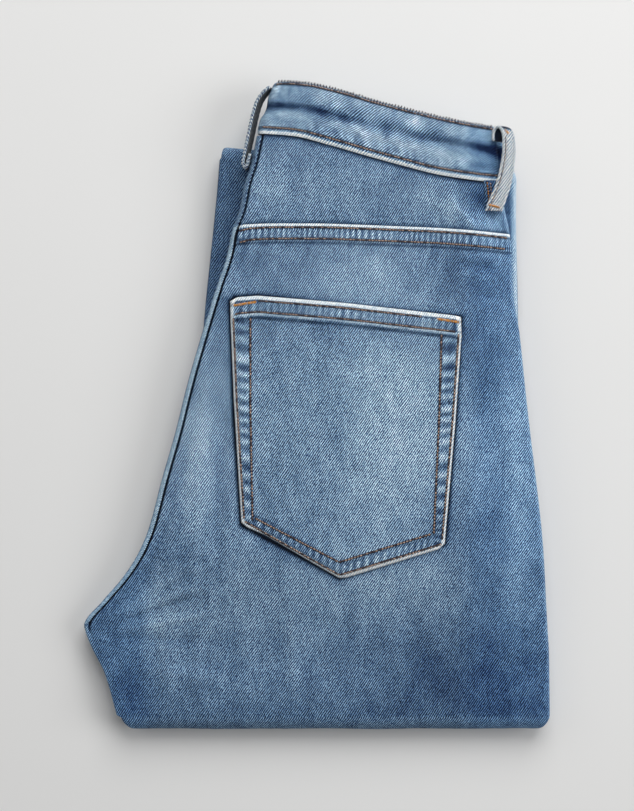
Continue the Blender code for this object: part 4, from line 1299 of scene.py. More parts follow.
    def yokes(self) -> None:
        """Right and left yoke, between the band and the yoke seam."""
        count = self.pick(90, 150)
        shares = shares_of(count)
        stations, over, under = [], [], []
        for part in shares_of(self.pick(34, 62)):
            station = TopStation(yoke_row(part, 0.0, 0.2), 0.0, 1.0, 1.0)
            stations.append(station)
            points = station.from_right(*Panel.right_line(station, shares, 7))
            points[:, 2] += self.yoke_seams(points[:, 0], points[:, 1], station)
            over.append(points)
            lower = TopStation(yoke_row(part, 0.0, 1.2), 0.0, 1.0, 1.0)
            under.append(lower.from_left(*Panel.left_line(lower, shares[::2], 12)))
        grid = np.array(over)
        x, y = grid[..., 0], grid[..., 1]
        share = np.array([s.share(row) for s, row in zip(stations, x)])
        above = y - waist("seam", share)
        below = waist("bottom", share) - y
        inner = x - each(stations, lambda s: s.left)
        pull = 0.07 * pucker(x + 60, above, 8.0) * ridge(above, 5.0, 4.0)
        # Fading, with painted light and shade on the creases and in some patches
        fade = BASE_FADE + WearAndShade.fade(x, y) + WearAndShade.crest(x, y) + pull
        # Painted shade: dark lines just above the yoke seam, under the band's lower edge and in the seat seam's groove
        deep = (0.8 * ridge(above, 0.3, 1.5) + 1.5 * ridge(below, 0.3, 1.8)
                + 1.6 * stripe(inner, 3.2, 4.8, 0.7))
        wear = (0.40 * stripe(inner, 0.5, 2.8, 0.6)
                + 0.25 * ridge(each(stations, lambda s: s.right) - x, 0.0, 1.4))
        across, _ = lengths(grid, count // 2)
        self.add(Cloth("right_yoke_cloth", ["right_yoke"], grid, across, y, Look(wear, fade, deep),
                       "denim_blue"), Kind.PANEL)
        grid = np.array(under)[:, ::-1]
        across, along = lengths(grid, 30)
        plain = np.full(grid.shape[:2], 0.45)
        self.add(Cloth("left_yoke_cloth", ["left_yoke"], grid, across, along,
                       Look(plain * 0.2, plain, plain * 0.4), "denim_blue"), Kind.PANEL)

    @staticmethod
    def yoke_seams(x: Array, y: Array, station: Station) -> Array:
        """Relief of the yoke beside its seams."""
        share = station.share(x)
        above = y - waist("seam", share)
        below = waist("bottom", share) - y
        inner = x - station.left
        pull = 0.18 * pucker(x + 60, above, 7.0) * ridge(above, 4.0, 4.5)
        hang = 0.20 * pucker(x + 13, below, 8.5) * ridge(below, 4.0, 5.0)
        seam = 0.8 * stripe(inner, 1.2, 2.8, 0.8) - 0.9 * ridge(inner, 4.0, 0.9)
        tuck = -0.35 * ridge(above, 0.0, 1.5) - 0.40 * ridge(below, 0.0, 1.6)
        return pull + hang + seam + tuck

    def band(self) -> None:
        """Waistband: one strip folded in four."""
        rises = shares_of(self.pick(27, 44))
        rings_out, rings_in, places = [], [], []
        for rise in rises:
            left, right, lift = (float(curve(BAND_ROWS, name, rise))
                                 for name in ("left", "right", "lift"))
            x, z, nx, nz, length = self.band_path(left, right)
            share = np.clip((x - left) / (right - left), 0.0, 1.0)
            top = waist("top", share)
            low = waist("bottom", share)
            middle = (z > BAND_PITCH * 0.6) & (z < BAND_PACK - BAND_PITCH * 0.6) & (x > left + 8)
            y = low + (top - low) * rise - FRONT_DIP * (1 - share) ** 1.5 * middle
            crown = ease((x - left - 4.0) / 30.0) * ease((right - x - 1.0) / 30.0)
            outer = (z > BAND_PACK - BAND_WALL) & (nz > 0.99)
            height = crown * (BAND_CROWN + lift) * outer
            detail = self.band_relief(x, rise, top - low) * ease((nz - 0.2) / 0.6) * (z > 6.0)
            droop = 2.4 * ease((x - right + 4.0) / 6.0) * (z < BAND_PITCH * 1.9)
            base = Form.underside(x, y) - BAND_STEP - droop
            edge = 0.45 * (ridge(rise * 33.0, 0.0, 0.8) + ridge((1 - rise) * 33.0, 0.0, 0.8))
            half = BAND_WALL / 2 - edge
            for ring, sign, relief in ((rings_out, 1.0, detail), (rings_in, -1.0, 0.0)):
                ring.append(np.stack([x + sign * nx * half, y, base + z + height + sign * nz * half + relief],
                                     axis=-1))
            places.append((x, length, z, nz))
        outer, inner = np.array(rings_out), np.array(rings_in)
        grid = np.concatenate([outer, inner[::-1], outer[:1]], axis=0)
        x, run, z, nz = (np.array(part) for part in zip(*places))
        fields = self.band_look(x, rises[:, None] + 0 * x, run, (z > 8.6) | (nz > 0.3))
        across, along, *look = [np.concatenate([f, f[::-1], f[:1]], axis=0) for f in fields]
        self.add_rings("waistband_cloth", "waistband", "denim_blue", Kind.BAND, grid, across, along,
                       Look(*look))

    @staticmethod
    def band_look(x: Array, rise: Array, run: Array, outer_face: Array) -> list[Array]:
        """Cloth coordinates, worn whitening, fading, and painted light and shade over one face of the band.

        Args:
            x: Places across the waist.
            rise: Shares of the band's height.
            run: Distances along the strip.
            outer_face: Which points face outward.

        Returns:
            The coordinates across and along, the worn whitening, the fading with its painted light and shade, and the
            darkening with its painted shade.
        """
        low = rise * BAND_HEIGHT
        high = (1 - rise) * BAND_HEIGHT
        spots = 0.90 + 0.10 * SPOT.at(x / 1.6, low / 1.6)
        place = (x - BAND_TOP_LEFT) / BAND_TOP_WIDTH
        # Strength of the painted shade that darkens the trough along the band's middle, across the waist
        trough = (0.50 + 0.75 * (1 - ease((place - 0.2) / 0.3)) + 0.35 * SMALL.at(x / 9.0, rise * 2)
                  + 0.35 * ease((place - 0.7) / 0.15))
        middle = 0.545 + 0.05 * ease((place - 0.35) / 0.3) + 0.03 * BROAD.at(x / 16.0, 1.0)
        # Painted light on the band's raised upper and lower parts, and painted shade along the trough between them
        fade = (BASE_FADE + 0.10 + 0.11 * BROAD.at(x / 7.0 + rise, rise * 4) + 0.07 * ridge(rise, 0.86, 0.14)
                - 0.30 * trough * ridge(rise, middle, 0.10 + 0.02 * SMALL.at(x / 7.0, 4.0))
                + 0.10 * ridge(rise, 0.38, 0.07)
                + 0.13 * pucker(x, low - 1.5, 7.0) * ridge(low, 8.0, 4.0)
                + 0.10 * pucker(x + 17, high - 2.0, 6.0) * ridge(high, 5.0, 3.0)
                # Painted shadow at the band's right end, beside the side loop
                - 0.32 * ease((x - 100.0) / 14.0) * ease((rise - 0.1) / 0.2) * (1 - ease((rise - 0.6) / 0.15))
                + 0.10 * SMALL.at(x / 4.5, rise * 7.0) + 0.05 * SPOT.at(x / 5.0, rise * 9.0))
        wear = 1.0 * stripe(low, -0.6, 2.0, 0.6) * spots + 0.35 * stripe(high, -0.4, 0.7, 0.4) * spots
        # Painted shade: dark lines beside the two rows of stitches and along the trough
        deep = (0.9 * stripe(low, 2.8, 5.2, 0.6) + 0.9 * stripe(high, 0.7, 2.7, 0.5)
                + 0.5 * ridge(rise, middle, 0.05) * trough)
        return [run * 0.90, low * 0.98, wear * (0.3 + 0.7 * outer_face), fade, deep]

    @staticmethod
    def band_relief(x: Array, rise: float, height: Array) -> Array:
        """Stitched edges and ripples of the band's outer face."""
        low = rise * height
        high = (1 - rise) * height
        rows = ridge(low, BAND_EDGE_ROW, 0.7) + ridge(high, BAND_TOP_ROW, 0.6)
        ripple = 0.26 * pucker(x, low - 1.5, 7.0) * ridge(low, 8.0, 3.6)
        ripple = ripple + 0.20 * pucker(x + 17, high - 2.0, 6.0) * ridge(high, 5.0, 3.0)
        return ripple - 0.28 * rows + 0.12 * BROAD.at(x / 11.0, rise * 3)

    @staticmethod
    def band_path(left: float, right: float) -> tuple[Array, ...]:
        """The band's fold seen from its end: x, height, outward normal and length along it."""
        half = BAND_WALL / 2
        level = [half + k * BAND_PITCH for k in range(4)]
        bend = BAND_PITCH / 2
        wide = 1.5 * BAND_PITCH
        parts = []

        def run(x0: float, x1: float, z: float, count: int, up: float) -> None:
            """Add a level stretch."""
            xs = np.linspace(x0, x1, count)
            parts.append(np.stack([xs, np.full(count, z), np.zeros(count), np.full(count, up)]))

        def turn(x: float, z: float, radius: float, start: float, end: float, count: int,
                 facing: float) -> None:
            """Add a bend."""
            angle = np.radians(np.linspace(start, end, count + 1)[1:-1])
            parts.append(np.stack([x + radius * np.cos(angle), z + radius * np.sin(angle),
                                   facing * np.cos(angle), facing * np.sin(angle)]))

        right_x = right - bend - half
        left_x = left + wide + half
        front_x = left + FRONT_RECESS + bend + half
        under_x = right_x + BAND_UNDER_REACH
        run(left_x, right_x, level[3], 130, 1.0)
        turn(right_x, level[2] + bend, bend, 90.0, -90.0, 7, 1.0)
        run(right_x, front_x, level[2], 16, -1.0)
        turn(front_x, level[1] + bend, bend, 90.0, 270.0, 7, -1.0)
        run(front_x, under_x, level[1], 22, 1.0)
        turn(under_x, level[0] + bend, bend, 90.0, -90.0, 7, 1.0)
        run(under_x, left_x, level[0], 46, -1.0)
        turn(left_x, level[0] + wide, wide, -90.0, -270.0, 14, 1.0)
        x, z, nx, nz = np.concatenate(parts, axis=1)
        return x, z, nx, nz, running(np.hypot(np.diff(x), np.diff(z)))

    def pocket(self) -> None:
        """Right back pocket: a patch with its turned hem, edges and two rows of stitches."""
        a = shares_of(self.pick(75, 125))[None, :]
        b = shares_of(self.pick(90, 150))[:, None]
        left, right = straight(POCKET_LEFT, b), straight(POCKET_RIGHT, b)
        mouth, foot = straight(POCKET_MOUTH, a), straight(POCKET_EDGE, a)
        x, y = left + (right - left) * a, mouth + (foot - mouth) * b
        from_mouth = mouth - y
        from_edge = (y - foot) * np.where(a < 0.5, 0.90, 0.95)
        side = np.minimum(x - left, right - x)
        border = np.minimum(side, from_edge)
        side_row = blend(*POCKET_SIDE_ROWS, b)
        second = np.minimum(side - side_row, from_edge - POCKET_POINT_ROW)
        below_hem = ease((from_mouth - HEM_EDGE + 1.0) / 1.0)
        hem = 0.6 * (1 - ease((from_mouth - HEM_EDGE) / 0.8))
        turned = 0.35 * (1 - ease((second + 0.4) / 1.4)) * below_hem
        round_off = -1.0 * (1 - ease(np.minimum(border, from_mouth) / 1.6)) ** 2
        rows = (ridge(border, POCKET_ROW, 0.5) + 0.8 * ridge(second, 0.0, 0.5)) * below_hem
        hem_rows = ridge(from_mouth, HEM_ROWS[0], 0.6) + ridge(from_mouth, HEM_ROWS[1], 0.6)
        side_bars = (pucker(y, side - 7.0, 8.2, 0.15) * stripe(side - side_row, 3.0 - side_row, -0.8, 1.6)
                     * below_hem)
        edge_bars = pucker(x, from_edge, 4.6, -0.2) * stripe(from_edge, 3.2, 8.6, 1.2) * (side > 6)
        hem_bars = pucker(x + 9, from_mouth, 4.4, 0.1) * stripe(from_mouth, 3.6, 9.6, 1.2)
        ripple = 0.30 * side_bars + 0.28 * edge_bars + 0.26 * hem_bars
        soft = 0.12 * BROAD.at(x / 13.0 + 70, y / 20.0)
        z = (Form.skin(x, y) + POCKET_LIFT + hem + turned + round_off - 0.24 * rows - 0.24 * hem_rows
             + ripple + soft)
        spots = 0.90 + 0.10 * SPOT.at((x + y) / 1.7, (x - y) / 2.3)
        # Fading, with painted light and shade on the creases and in some patches
        fade = (BASE_FADE + 0.02 + WearAndShade.fade(x, y) + 0.6 * WearAndShade.crest(x, y)
                + 0.36 * side_bars + 0.32 * edge_bars + 0.26 * hem_bars
                - 0.05 * stripe(side, 2.5, 9.0, 2.0) - 0.06 * stripe(from_edge, 3.0, 9.0, 1.0))
        wear = (0.98 * stripe(border, -1.0, 2.5, 0.6)
                + 0.98 * stripe(from_mouth, -1.0, 2.4, 0.6) * (border > 1.5)
                + 0.70 * stripe(from_mouth, 10.9, HEM_EDGE, 0.5) * (side > 2.5)) * spots
        # Painted shade: dark lines beside the rows of stitches and under the edge of the turned hem
        deep = (0.8 * ridge(border, 2.7, 0.5) * below_hem + 0.7 * ridge(second, 0.0, 0.7) * below_hem
                + 0.8 * stripe(from_mouth, 2.6, 3.9, 0.5) + 0.7 * stripe(from_mouth, 9.6, 10.8, 0.4)
                + 1.1 * stripe(from_mouth, HEM_EDGE + 0.7, HEM_EDGE + 2.6, 1.0) * (side > 2.5))
        self.add(Cloth("pocket_cloth", ["right_back_pocket"], np.stack([x, y, z], axis=-1), x, y,
                       Look(wear, fade, deep), "denim_faded", wall=1.5, margin=2), Kind.POCKET)

    def loops(self) -> None:
        """The three belt loops."""
        self.loop("centre_loop_cloth", "belt_loop_centre_back", CENTRE_LOOP)
        self.loop("right_loop_cloth", "belt_loop_right_side", RIGHT_LOOP)
        self.loop("left_loop_cloth", "belt_loop_left_side", LEFT_LOOP)
        self.loop_tab()

    def loop_tab(self) -> None:
        """Turned-under end of the side loop, which runs back up to the band's seam."""
        a = np.linspace(-1.0, 1.0, 17)[None, :]
        b = shares_of(34)[:, None]
        y = 144.2 - 18.4 * b + 0 * a
        x = 110.6 + 2.2 * b + a * (4.1 + 0.5 * b)
        z = Form.skin(x, y) + 1.5 - 0.7 * np.abs(a) ** 6 + 0.15 * pucker(y, a, 4.0)
        lean = 0.14 + 0.08 * SMALL.at(a * 2, y / 3.0)
        wear = 0.25 * ridge(np.abs(a), 1.0, 0.18) + 0 * b
        self.add(Cloth("right_loop_tab_cloth", [], np.stack([x, y, z], axis=-1), a * 4.3 + 0 * b, y,
                       Look(wear, lean, 0.2 * wear), "denim_faded", wall=1.1, margin=1), Kind.LOOP)

    def loop(self, name: str, node: str, table: Sequence[LoopPoint]) -> None:
        """One belt loop: a soft strip with two rows of stitches.

        Args:
            name: Name of the piece.
            node: CAD node that it stands for.
            table: Points of its path.
        """
        fine = np.linspace(0, len(table) - 1, len(table) * 9)
        *spots, tilt = (self.smooth(np.array([getattr(p, key) for p in table]), fine)
                        for key in LoopPoint._fields)
        centre = np.stack(spots, axis=-1)
        tilt = np.radians(tilt)
        wide = np.stack([np.cos(tilt), 0 * tilt, -np.sin(tilt)], axis=-1)
        normal = np.cross(wide, np.gradient(centre, axis=0))
        normal /= np.linalg.norm(normal, axis=-1, keepdims=True)
        section = self.loop_section()
        length = running(np.linalg.norm(np.diff(centre, axis=0), axis=-1))
        rings = []
        for k in range(len(fine)):
            close = min(k, len(fine) - 1 - k)
            shrink = 1.0 if close > 1 else (0.93 if close == 1 else 0.72)
            ring = []
            for w, t in section:
                ripple = 0.12 * float(pucker(np.array(length[k]), np.array(w), 4.2)) * math.copysign(1.0, t)
                sunk = -0.16 * math.exp(-((abs(w) - 3.1) / 0.55) ** 2) * math.copysign(1.0, t)
                lift = (t + ripple * (abs(t) > 0.7) + sunk * (abs(t) > 0.7)) * shrink
                ring.append(centre[k] + wide[k] * w * (1.0 if close else 0.97) + normal[k] * lift)
            rings.append(ring)
        grid = np.array(rings)
        grid = np.concatenate([np.repeat(centre[:1, None], grid.shape[1], 1), grid,
                               np.repeat(centre[-1:, None], grid.shape[1], 1)])
        widths, walls = (np.array(part)[None, :] for part in zip(*section))
        run = np.concatenate([[0.0], length, [length[-1]]])[:, None]
        along = run + 0 * widths
        across = widths + 0 * run + 3.0 * (walls < 0)
        faces = walls * np.concatenate([normal[:1], normal, normal[-1:]])[:, 2:3]
        flat = np.abs(widths) < LOOP_WIDTH / 2 - 0.9
        edge = ridge(np.abs(widths), LOOP_WIDTH / 2, 0.7) + 0 * run
        middle = 0.10 * SMALL.at(widths / 2.2, run / 3.0)
        fade = 0.72 + 0.05 * BROAD.at(run / 5.0, widths * 0.2) - 0.05 * (np.abs(widths) < 2.4) + middle
        wear = 0.82 + 0.10 * edge + 0.06 * SPOT.at(run / 1.3, widths / 1.3)
        # Darker cloth, with painted shade in the two sunk rows beside the stitches
        deep = 0.55 + 0.35 * ridge(np.abs(widths), 3.1, 0.5) + 0 * run
        # Painted shade: the centre loop stands on edge, and its upturned flat face, which lies in shadow, is drawn
        # dark navy and less worn
        if table is CENTRE_LOOP:
            inside = flat & (faces > 0.0)
            fade = 0.50 + middle
            wear = wear - 0.22 * (1 - inside)
            deep = np.where(inside, 1.6, 0.75) + 0 * run
        # The side loop's first 15 mm, where it turns over the band's top, is drawn dark and unworn
        if table is RIGHT_LOOP:
            inside = ease((15.0 - run) / 3.0) * flat
            fade = fade * (1 - inside) + 0.06 * inside
            wear = wear * (1 - inside)
            deep = deep + 0.6 * inside
            across, along = grid[..., 0] * 0.90, grid[..., 1] * 0.98
        self.add_rings(name, node, "denim_faded", Kind.LOOP, grid, across, along, Look(wear, fade, deep))

    @staticmethod
    def smooth(values: Array, at: Array) -> Array:
        """Catmull-Rom curve through evenly spaced values."""
        padded = np.concatenate([[2 * values[0] - values[1]], values, [2 * values[-1] - values[-2]]])
        k = np.clip(np.floor(at).astype(int), 0, len(values) - 2)
        t = at - k
        p0, p1, p2, p3 = (padded[k + j] for j in range(4))
        return 0.5 * (2 * p1 + (p2 - p0) * t + (2 * p0 - 5 * p1 + 4 * p2 - p3) * t ** 2
                      + (3 * p1 - p0 - 3 * p2 + p3) * t ** 3)

    @staticmethod
    def loop_section() -> list[tuple[float, float]]:
        """Rounded section of a belt loop."""
        half = LOOP_WALL / 2
        wide = LOOP_WIDTH / 2
        flat = [float(w) for w in np.linspace(-wide + 0.8, wide - 0.8, 15)]
        side = [(wide - 0.3, half * 0.75), (wide, half * 0.25), (wide, -half * 0.25),
                (wide - 0.3, -half * 0.75)]
        return ([(w, half) for w in flat] + side + [(w, -half) for w in flat[::-1]]
                + [(-w, -t) for w, t in side])

    def hems(self) -> None:
        """Turned-up hems of both legs."""
        self.hem("right_hem_cloth", "right_hem", 0.0, PACK / 2 + 0.1)
        self.hem("left_hem_cloth", "left_hem", 1.0, 0.0)

    def hem(self, name: str, node: str, stepped: float, floor: float) -> None:
        """One hem: a closed cuff with a turned edge.

        Args:
            name: Name of the piece.
            node: CAD node that it stands for.
            stepped: 1 where the edges stand in by the left leg's steps, otherwise 0.
            floor: Height of its lower face.
        """
        start = 1 - HEM_HEIGHT / (TOP_FOLD_Y - PACK - HEM_Y)
        height = PACK / 2 - 0.1
        reach = height / 2 + 0.4
        turn = np.radians(np.linspace(-90, 90, 9))
        outer, inner = [], []
        for k, part in enumerate(np.linspace(start, 1.0, 14)):
            station = CuffStation(part, 1.0)
            left = station.left + station.left_step * stepped
            right = station.right - station.right_step * stepped
            for wall, rings in ((0.0, outer), (HEM_WALL, inner)):
                half = height / 2 - wall
                xl = left + reach - (reach - wall) * np.cos(turn)
                xr = right - reach + (reach - wall) * np.cos(turn[::-1])
                flat = np.linspace(xl[-1], xr[0], 60)[1:-1]
                x = np.concatenate([xl, flat, xr, flat[::-1]])
                z = np.concatenate([half * np.sin(turn), np.full(58, half), half * np.sin(turn[::-1]),
                                    np.full(58, -half)])
                if wall == 0.0:
                    z = z * (1 - 0.10 * math.exp(-((k - 9.0) / 1.2) ** 2) - 0.05 * (k in (0, 13)))
                rings.append(np.stack([x, station.row(x), height / 2 + floor + z], axis=-1))
        grid = np.concatenate([np.array(outer), np.array(inner)[::-1], np.array(outer)[:1]])
        across, along = around(grid), grid[..., 1]
        fade = 0.34 + 0.08 * pucker(across, along, 6.0)
        look = Look(0.25 + 0.2 * SPOT.at(across / 2.0, along), fade, np.full_like(fade, 0.1))
        self.add_rings(name, node, "denim_inside", Kind.INSIDE, grid, across, along, look)


class Thread(Enum):
    """Colours of the sewing thread, and of the painted shade beds under the stitches."""

    RUST = "thread_rust"
    # Dark worn thread and weft ends; also the dark beds under stitches, which are painted shade
    DARK = "thread_dark"
    GOLD = "thread_gold"
    PALE = "thread_pale"


@dataclass
class Row:
    """One row of stitches along a path in plan."""

    path: Sequence[tuple[float, float]]
    on: Sequence[str]
    thread: Thread = Thread.RUST
    pitch: float = 2.05
    length: float = 1.75
    radius: float = 0.46


@dataclass
class Sewing:
    """All stitches, laid on the pieces from above."""

    jeans: Jeans
    rng: np.random.Generator = field(default_factory=lambda: np.random.default_rng(5))
    parts: dict[Thread, list[tuple[Array, Array]]] = field(default_factory=dict)

    def draw(self, low: float, high: float) -> float:
        """Next random number."""
        return float(self.rng.uniform(low, high))

    def drop(self, x: float, y: float, on: Sequence[str]) -> Optional[tuple[Vector, Vector]]:
        """Highest point of the named pieces under a place, with its normal."""
        best = None
        for name in on:
            hit = self.jeans.surfaces[name].ray_cast(Vector((x, y, DROP_HEIGHT)) * MM, -UP, DROP_REACH)
            if hit[0] is not None and (best is None or hit[0].z > best[0].z):
                best = (hit[0], hit[1] if hit[1].z > 0 else -hit[1])
        return best

    def stitch(self, start: Vector, end: Vector, normal: Vector, thread: Thread, radius: float,
               raised: float = 0.0) -> None:
        """One stitch: a small rounded bead that dips at both ends.

        Args:
            start: One end.
            end: The other end.
            normal: Which way the cloth faces.
            thread: Its thread.
            radius: Half its thickness, in millimetres.
            raised: How far it stands off the cloth, in millimetres.
        """
        along = end - start
        length = along.length
        along.normalize()
        side = normal.cross(along).normalized()
        up = along.cross(side).normalized()
        points = []
        for share, size, lift in BEAD:
            middle = start + along * (share * length) + up * ((lift * radius + raised) * MM)
            for k in range(6):
                angle = math.tau * k / 6
                out = side * math.cos(angle) * 1.1 + up * math.sin(angle)
                points.append(middle + out * (size * radius * MM))
        faces = [(i + k, i + (k + 1) % 6, i + 6 + (k + 1) % 6, i + 6 + k)
                 for i in range(0, 6 * (len(BEAD) - 1), 6) for k in range(6)]
        self.parts.setdefault(thread, []).append((np.array(points), np.array(faces)))

    def sew(self, row: Row) -> None:
        """Lay one row of stitches, each with a dark bed under it that paints the shade of the groove that it sinks
        into.
        """
        path = np.array(row.path, dtype=float)
        run = running(np.linalg.norm(np.diff(path, axis=0), axis=-1))
        at = 0.4
        while at + row.length < run[-1]:
            size = row.length * self.draw(0.88, 1.08)
            ends = []
            for s in (at, at + size):
                x = float(np.interp(s, run, path[:, 0])) + self.draw(-0.07, 0.07)
                y = float(np.interp(s, run, path[:, 1])) + self.draw(-0.07, 0.07)
                ends.append(self.drop(x, y, row.on))
            if ends[0] and ends[1] and abs(ends[0][0].z - ends[1][0].z) < STITCH_CLIMB * MM:
                worn = row.thread is Thread.RUST and self.rng.uniform() < DARK_SHARE
                (first, normal), (last, _) = ends
                self.stitch(first, last, normal, Thread.DARK if worn else row.thread, row.radius, 0.12)
                # Painted shade: a wider dark bead, sunk under the stitch, stands for the shadow of its groove
                gap = (last - first) * BED_PASS
                self.stitch(first - gap, last + gap, normal, Thread.DARK, row.radius * BED_SIZE,
                            -row.radius * BED_DEPTH)
            at += row.pitch * self.draw(0.95, 1.05)

    def tack(self, x0: float, y0: float, x1: float, y1: float, on: Sequence[str], wide: float = 1.7) -> None:
        """A bar tack: close stitches across a short line."""
        length = math.hypot(x1 - x0, y1 - y0)
        ux, uy = (x1 - x0) / length, (y1 - y0) / length
        count = int(length / TACK_PITCH)
        for k in range(count):
            s = (k + 0.5) / count * length
            cx, cy = x0 + ux * s, y0 + uy * s
            tilt = 0.18 if k % 2 else -0.18
            a = self.drop(cx - uy * wide / 2 + ux * tilt, cy + ux * wide / 2 + uy * tilt, on)
            b = self.drop(cx + uy * wide / 2 - ux * tilt, cy - ux * wide / 2 - uy * tilt, on)
            if a and b:
                thread = Thread.RUST if self.rng.uniform() < 0.22 else Thread.GOLD
                self.stitch(a[0], b[0], a[1], thread, self.draw(0.30, 0.40))

    def build(self) -> None:
        """Join the stitches into one mesh for each thread."""
        for thread, made in self.parts.items():
            points = np.concatenate([p for p, _ in made])
            offset = np.cumsum([0] + [len(p) for p, _ in made[:-1]])
            faces = np.concatenate([f + o for (_, f), o in zip(made, offset)])
            make_object(thread.value, points / MM, faces, self.jeans.materials.thread(thread), [],
                        "denim_blue")

    def line(self, x: Array, y: Array, on: str) -> None:
        """One row of rust thread through matching places."""
        self.sew(Row(list(zip(x, y)), [on]))

    def all_rows(self) -> None:
        """Every row of stitches and every bar tack that the photo shows."""
        share = shares_of(60)
        left, right = (curve(BAND_ROWS, name, 0.93) for name in ("left", "right"))
        top, low, seam = (waist(name, share) for name in ("top", "bottom", "seam"))
        x = left + (right - left) * share
        self.line(x[1:], (top - BAND_TOP_ROW)[1:], "waistband_cloth")
        x = blend(-36.8, 116.0, share)
        self.line(x[1:], (low + BAND_EDGE_ROW)[1:], "waistband_cloth")
        x = blend(-49.0, 122.4, share)
        for row in SEAM_ROWS:
            self.line(x, seam - row, "right_back_cloth")
        self.pocket_rows()
        self.loop_rows()
        self.nap()

    def pocket_rows(self) -> None:
        """Stitches of the pocket."""
        on = "pocket_cloth"
        a = shares_of(50)
        mouth = straight(POCKET_MOUTH, a)
        xs = blend(-54.8, 92.4, a)
        self.line(xs[6:-8], (mouth - HEM_ROWS[0])[6:-8], on)
        self.line(xs[1:-1], (mouth - HEM_ROWS[1])[1:-1], on)
        b = np.linspace(0.075, 1.0, 160)
        y_left, y_right = blend(67.6, -73.5, b), blend(57.6, -87.0, b)
        for inset, cut_left, cut_right in ((np.full_like(b, POCKET_ROW), 0.985, 0.985),
                                           (blend(*POCKET_SIDE_ROWS, b), 0.990, 0.968)):
            keep = b < cut_left
            self.line((straight(POCKET_LEFT, b) + inset)[keep], y_left[keep], on)
            keep = b < cut_right
            self.line((straight(POCKET_RIGHT, b) - inset)[keep], y_right[keep], on)
        lift = POCKET_ROW / 0.91
        self.sew(Row([(-45.6, -74.6 + lift), (14.9, -109.0 + lift), (80.0, -89.2 + lift)], [on]))
        self.sew(Row([(-38.6, -70.6), (14.6, -98.6), (74.1, -80.4)], [on]))
        self.tack(-52.2, 64.9, -38.2, 67.2, [on])
        self.tack(77.0, 56.4, 91.0, 54.2, [on])

    def loop_rows(self) -> None:
        """Stitches and tacks of the side loop that face up."""
        on = ["right_loop_cloth"]
        line = [(p.x - 3.3 * math.cos(math.radians(p.tilt)), p.y) for p in RIGHT_LOOP[4:]]
        self.sew(Row(line, on, Thread.RUST, 2.3, 1.6, 0.28))
        self.tack(109.4, 128.6, 116.8, 126.8, on, 1.5)
        self.tack(119.3, 176.0, 122.0, 173.2, on, 1.5)
        tab = ["right_loop_tab_cloth"]
        self.sew(Row([(108.6, 143.2), (110.0, 131.0)], tab, Thread.GOLD, 1.7, 1.2, 0.42))
        self.sew(Row([(110.6, 142.8), (111.7, 133.0)], tab, Thread.RUST, 1.9, 1.3, 0.34))

    def nap(self) -> None:
        """Pale weft ends that stand out along the band's upper edge."""
        for k, x in enumerate(np.arange(-25.0, 112.5, 0.95)):
            share = float(np.clip((x - BAND_TOP_LEFT) / BAND_TOP_WIDTH, 0.0, 1.0))
            y = float(waist("top", np.array(share)))
            hit = self.drop(x, y - 0.7, ["waistband_cloth"])
            if hit is None:
                continue
            start = hit[0] - Vector((0.0, 0.0, 0.05)) * MM
            lean = self.draw(0.5, 0.9)
            tall = self.draw(1.3, 1.9) if k % 2 else self.draw(0.9, 1.3)
            end = start + Vector((lean, tall, -0.25)) * MM
            self.stitch(start, end, UP, Thread.DARK if k % 2 else Thread.PALE, 0.36)


class Kind(Enum):
    """Kinds of denim in the garment."""

    PANEL = "denim_panel"
    BAND = "denim_band"
    POCKET = "denim_pocket"
    LOOP = "denim_loop"
    INSIDE = "denim_inside"


@dataclass(frozen=True)
class Recipe:
    """How one kind of denim looks."""

    shift: float = 0.0
    contrast: float = 1.05
    roughness: float = 0.92
    sheen: float = 0.02


RECIPES = {
    Kind.PANEL: Recipe(contrast=1.00),
    Kind.BAND: Recipe(),
    Kind.POCKET: Recipe(shift=-0.02),
    Kind.LOOP: Recipe(contrast=2.20, sheen=0.06),
    Kind.INSIDE: Recipe(contrast=0.85, roughness=0.94, sheen=0.04),
}
THREADS = {
    Thread.RUST: (186, 158, 142),
    Thread.DARK: (56, 44, 50),
    Thread.GOLD: (205, 140, 62),
    Thread.PALE: (196, 206, 212),
}
# How far red, green and blue swing between the twill's light and dark yarns
YARN_SWING = (1.00, 0.83, 0.62)
# How the bluest tone differs from the plain one in red, green and blue; the blueness follows the darker cloth and the
# painted shade
BLUE_TINT = (-0.19, -0.01, 0.18)
# Denim from deepest dye to worn white, as screen colours
DYE = [
    (0.00, (22, 36, 66)), (0.20, (54, 76, 106)), (0.38, (84, 110, 138)), (0.50, (107, 134, 160)),
    (0.62, (130, 157, 179)), (0.78, (162, 186, 204)), (0.90, (200, 215, 225)), (1.00, (246, 247, 246)),
]


def paint(colour: Sequence[int]) -> Colour:
    """Screen colour as light."""
    parts = [c / 255.0 for c in colour]
    return (*(p / 12.92 if p <= 0.04045 else ((p + 0.055) / 1.055) ** 2.4 for p in parts), 1.0)


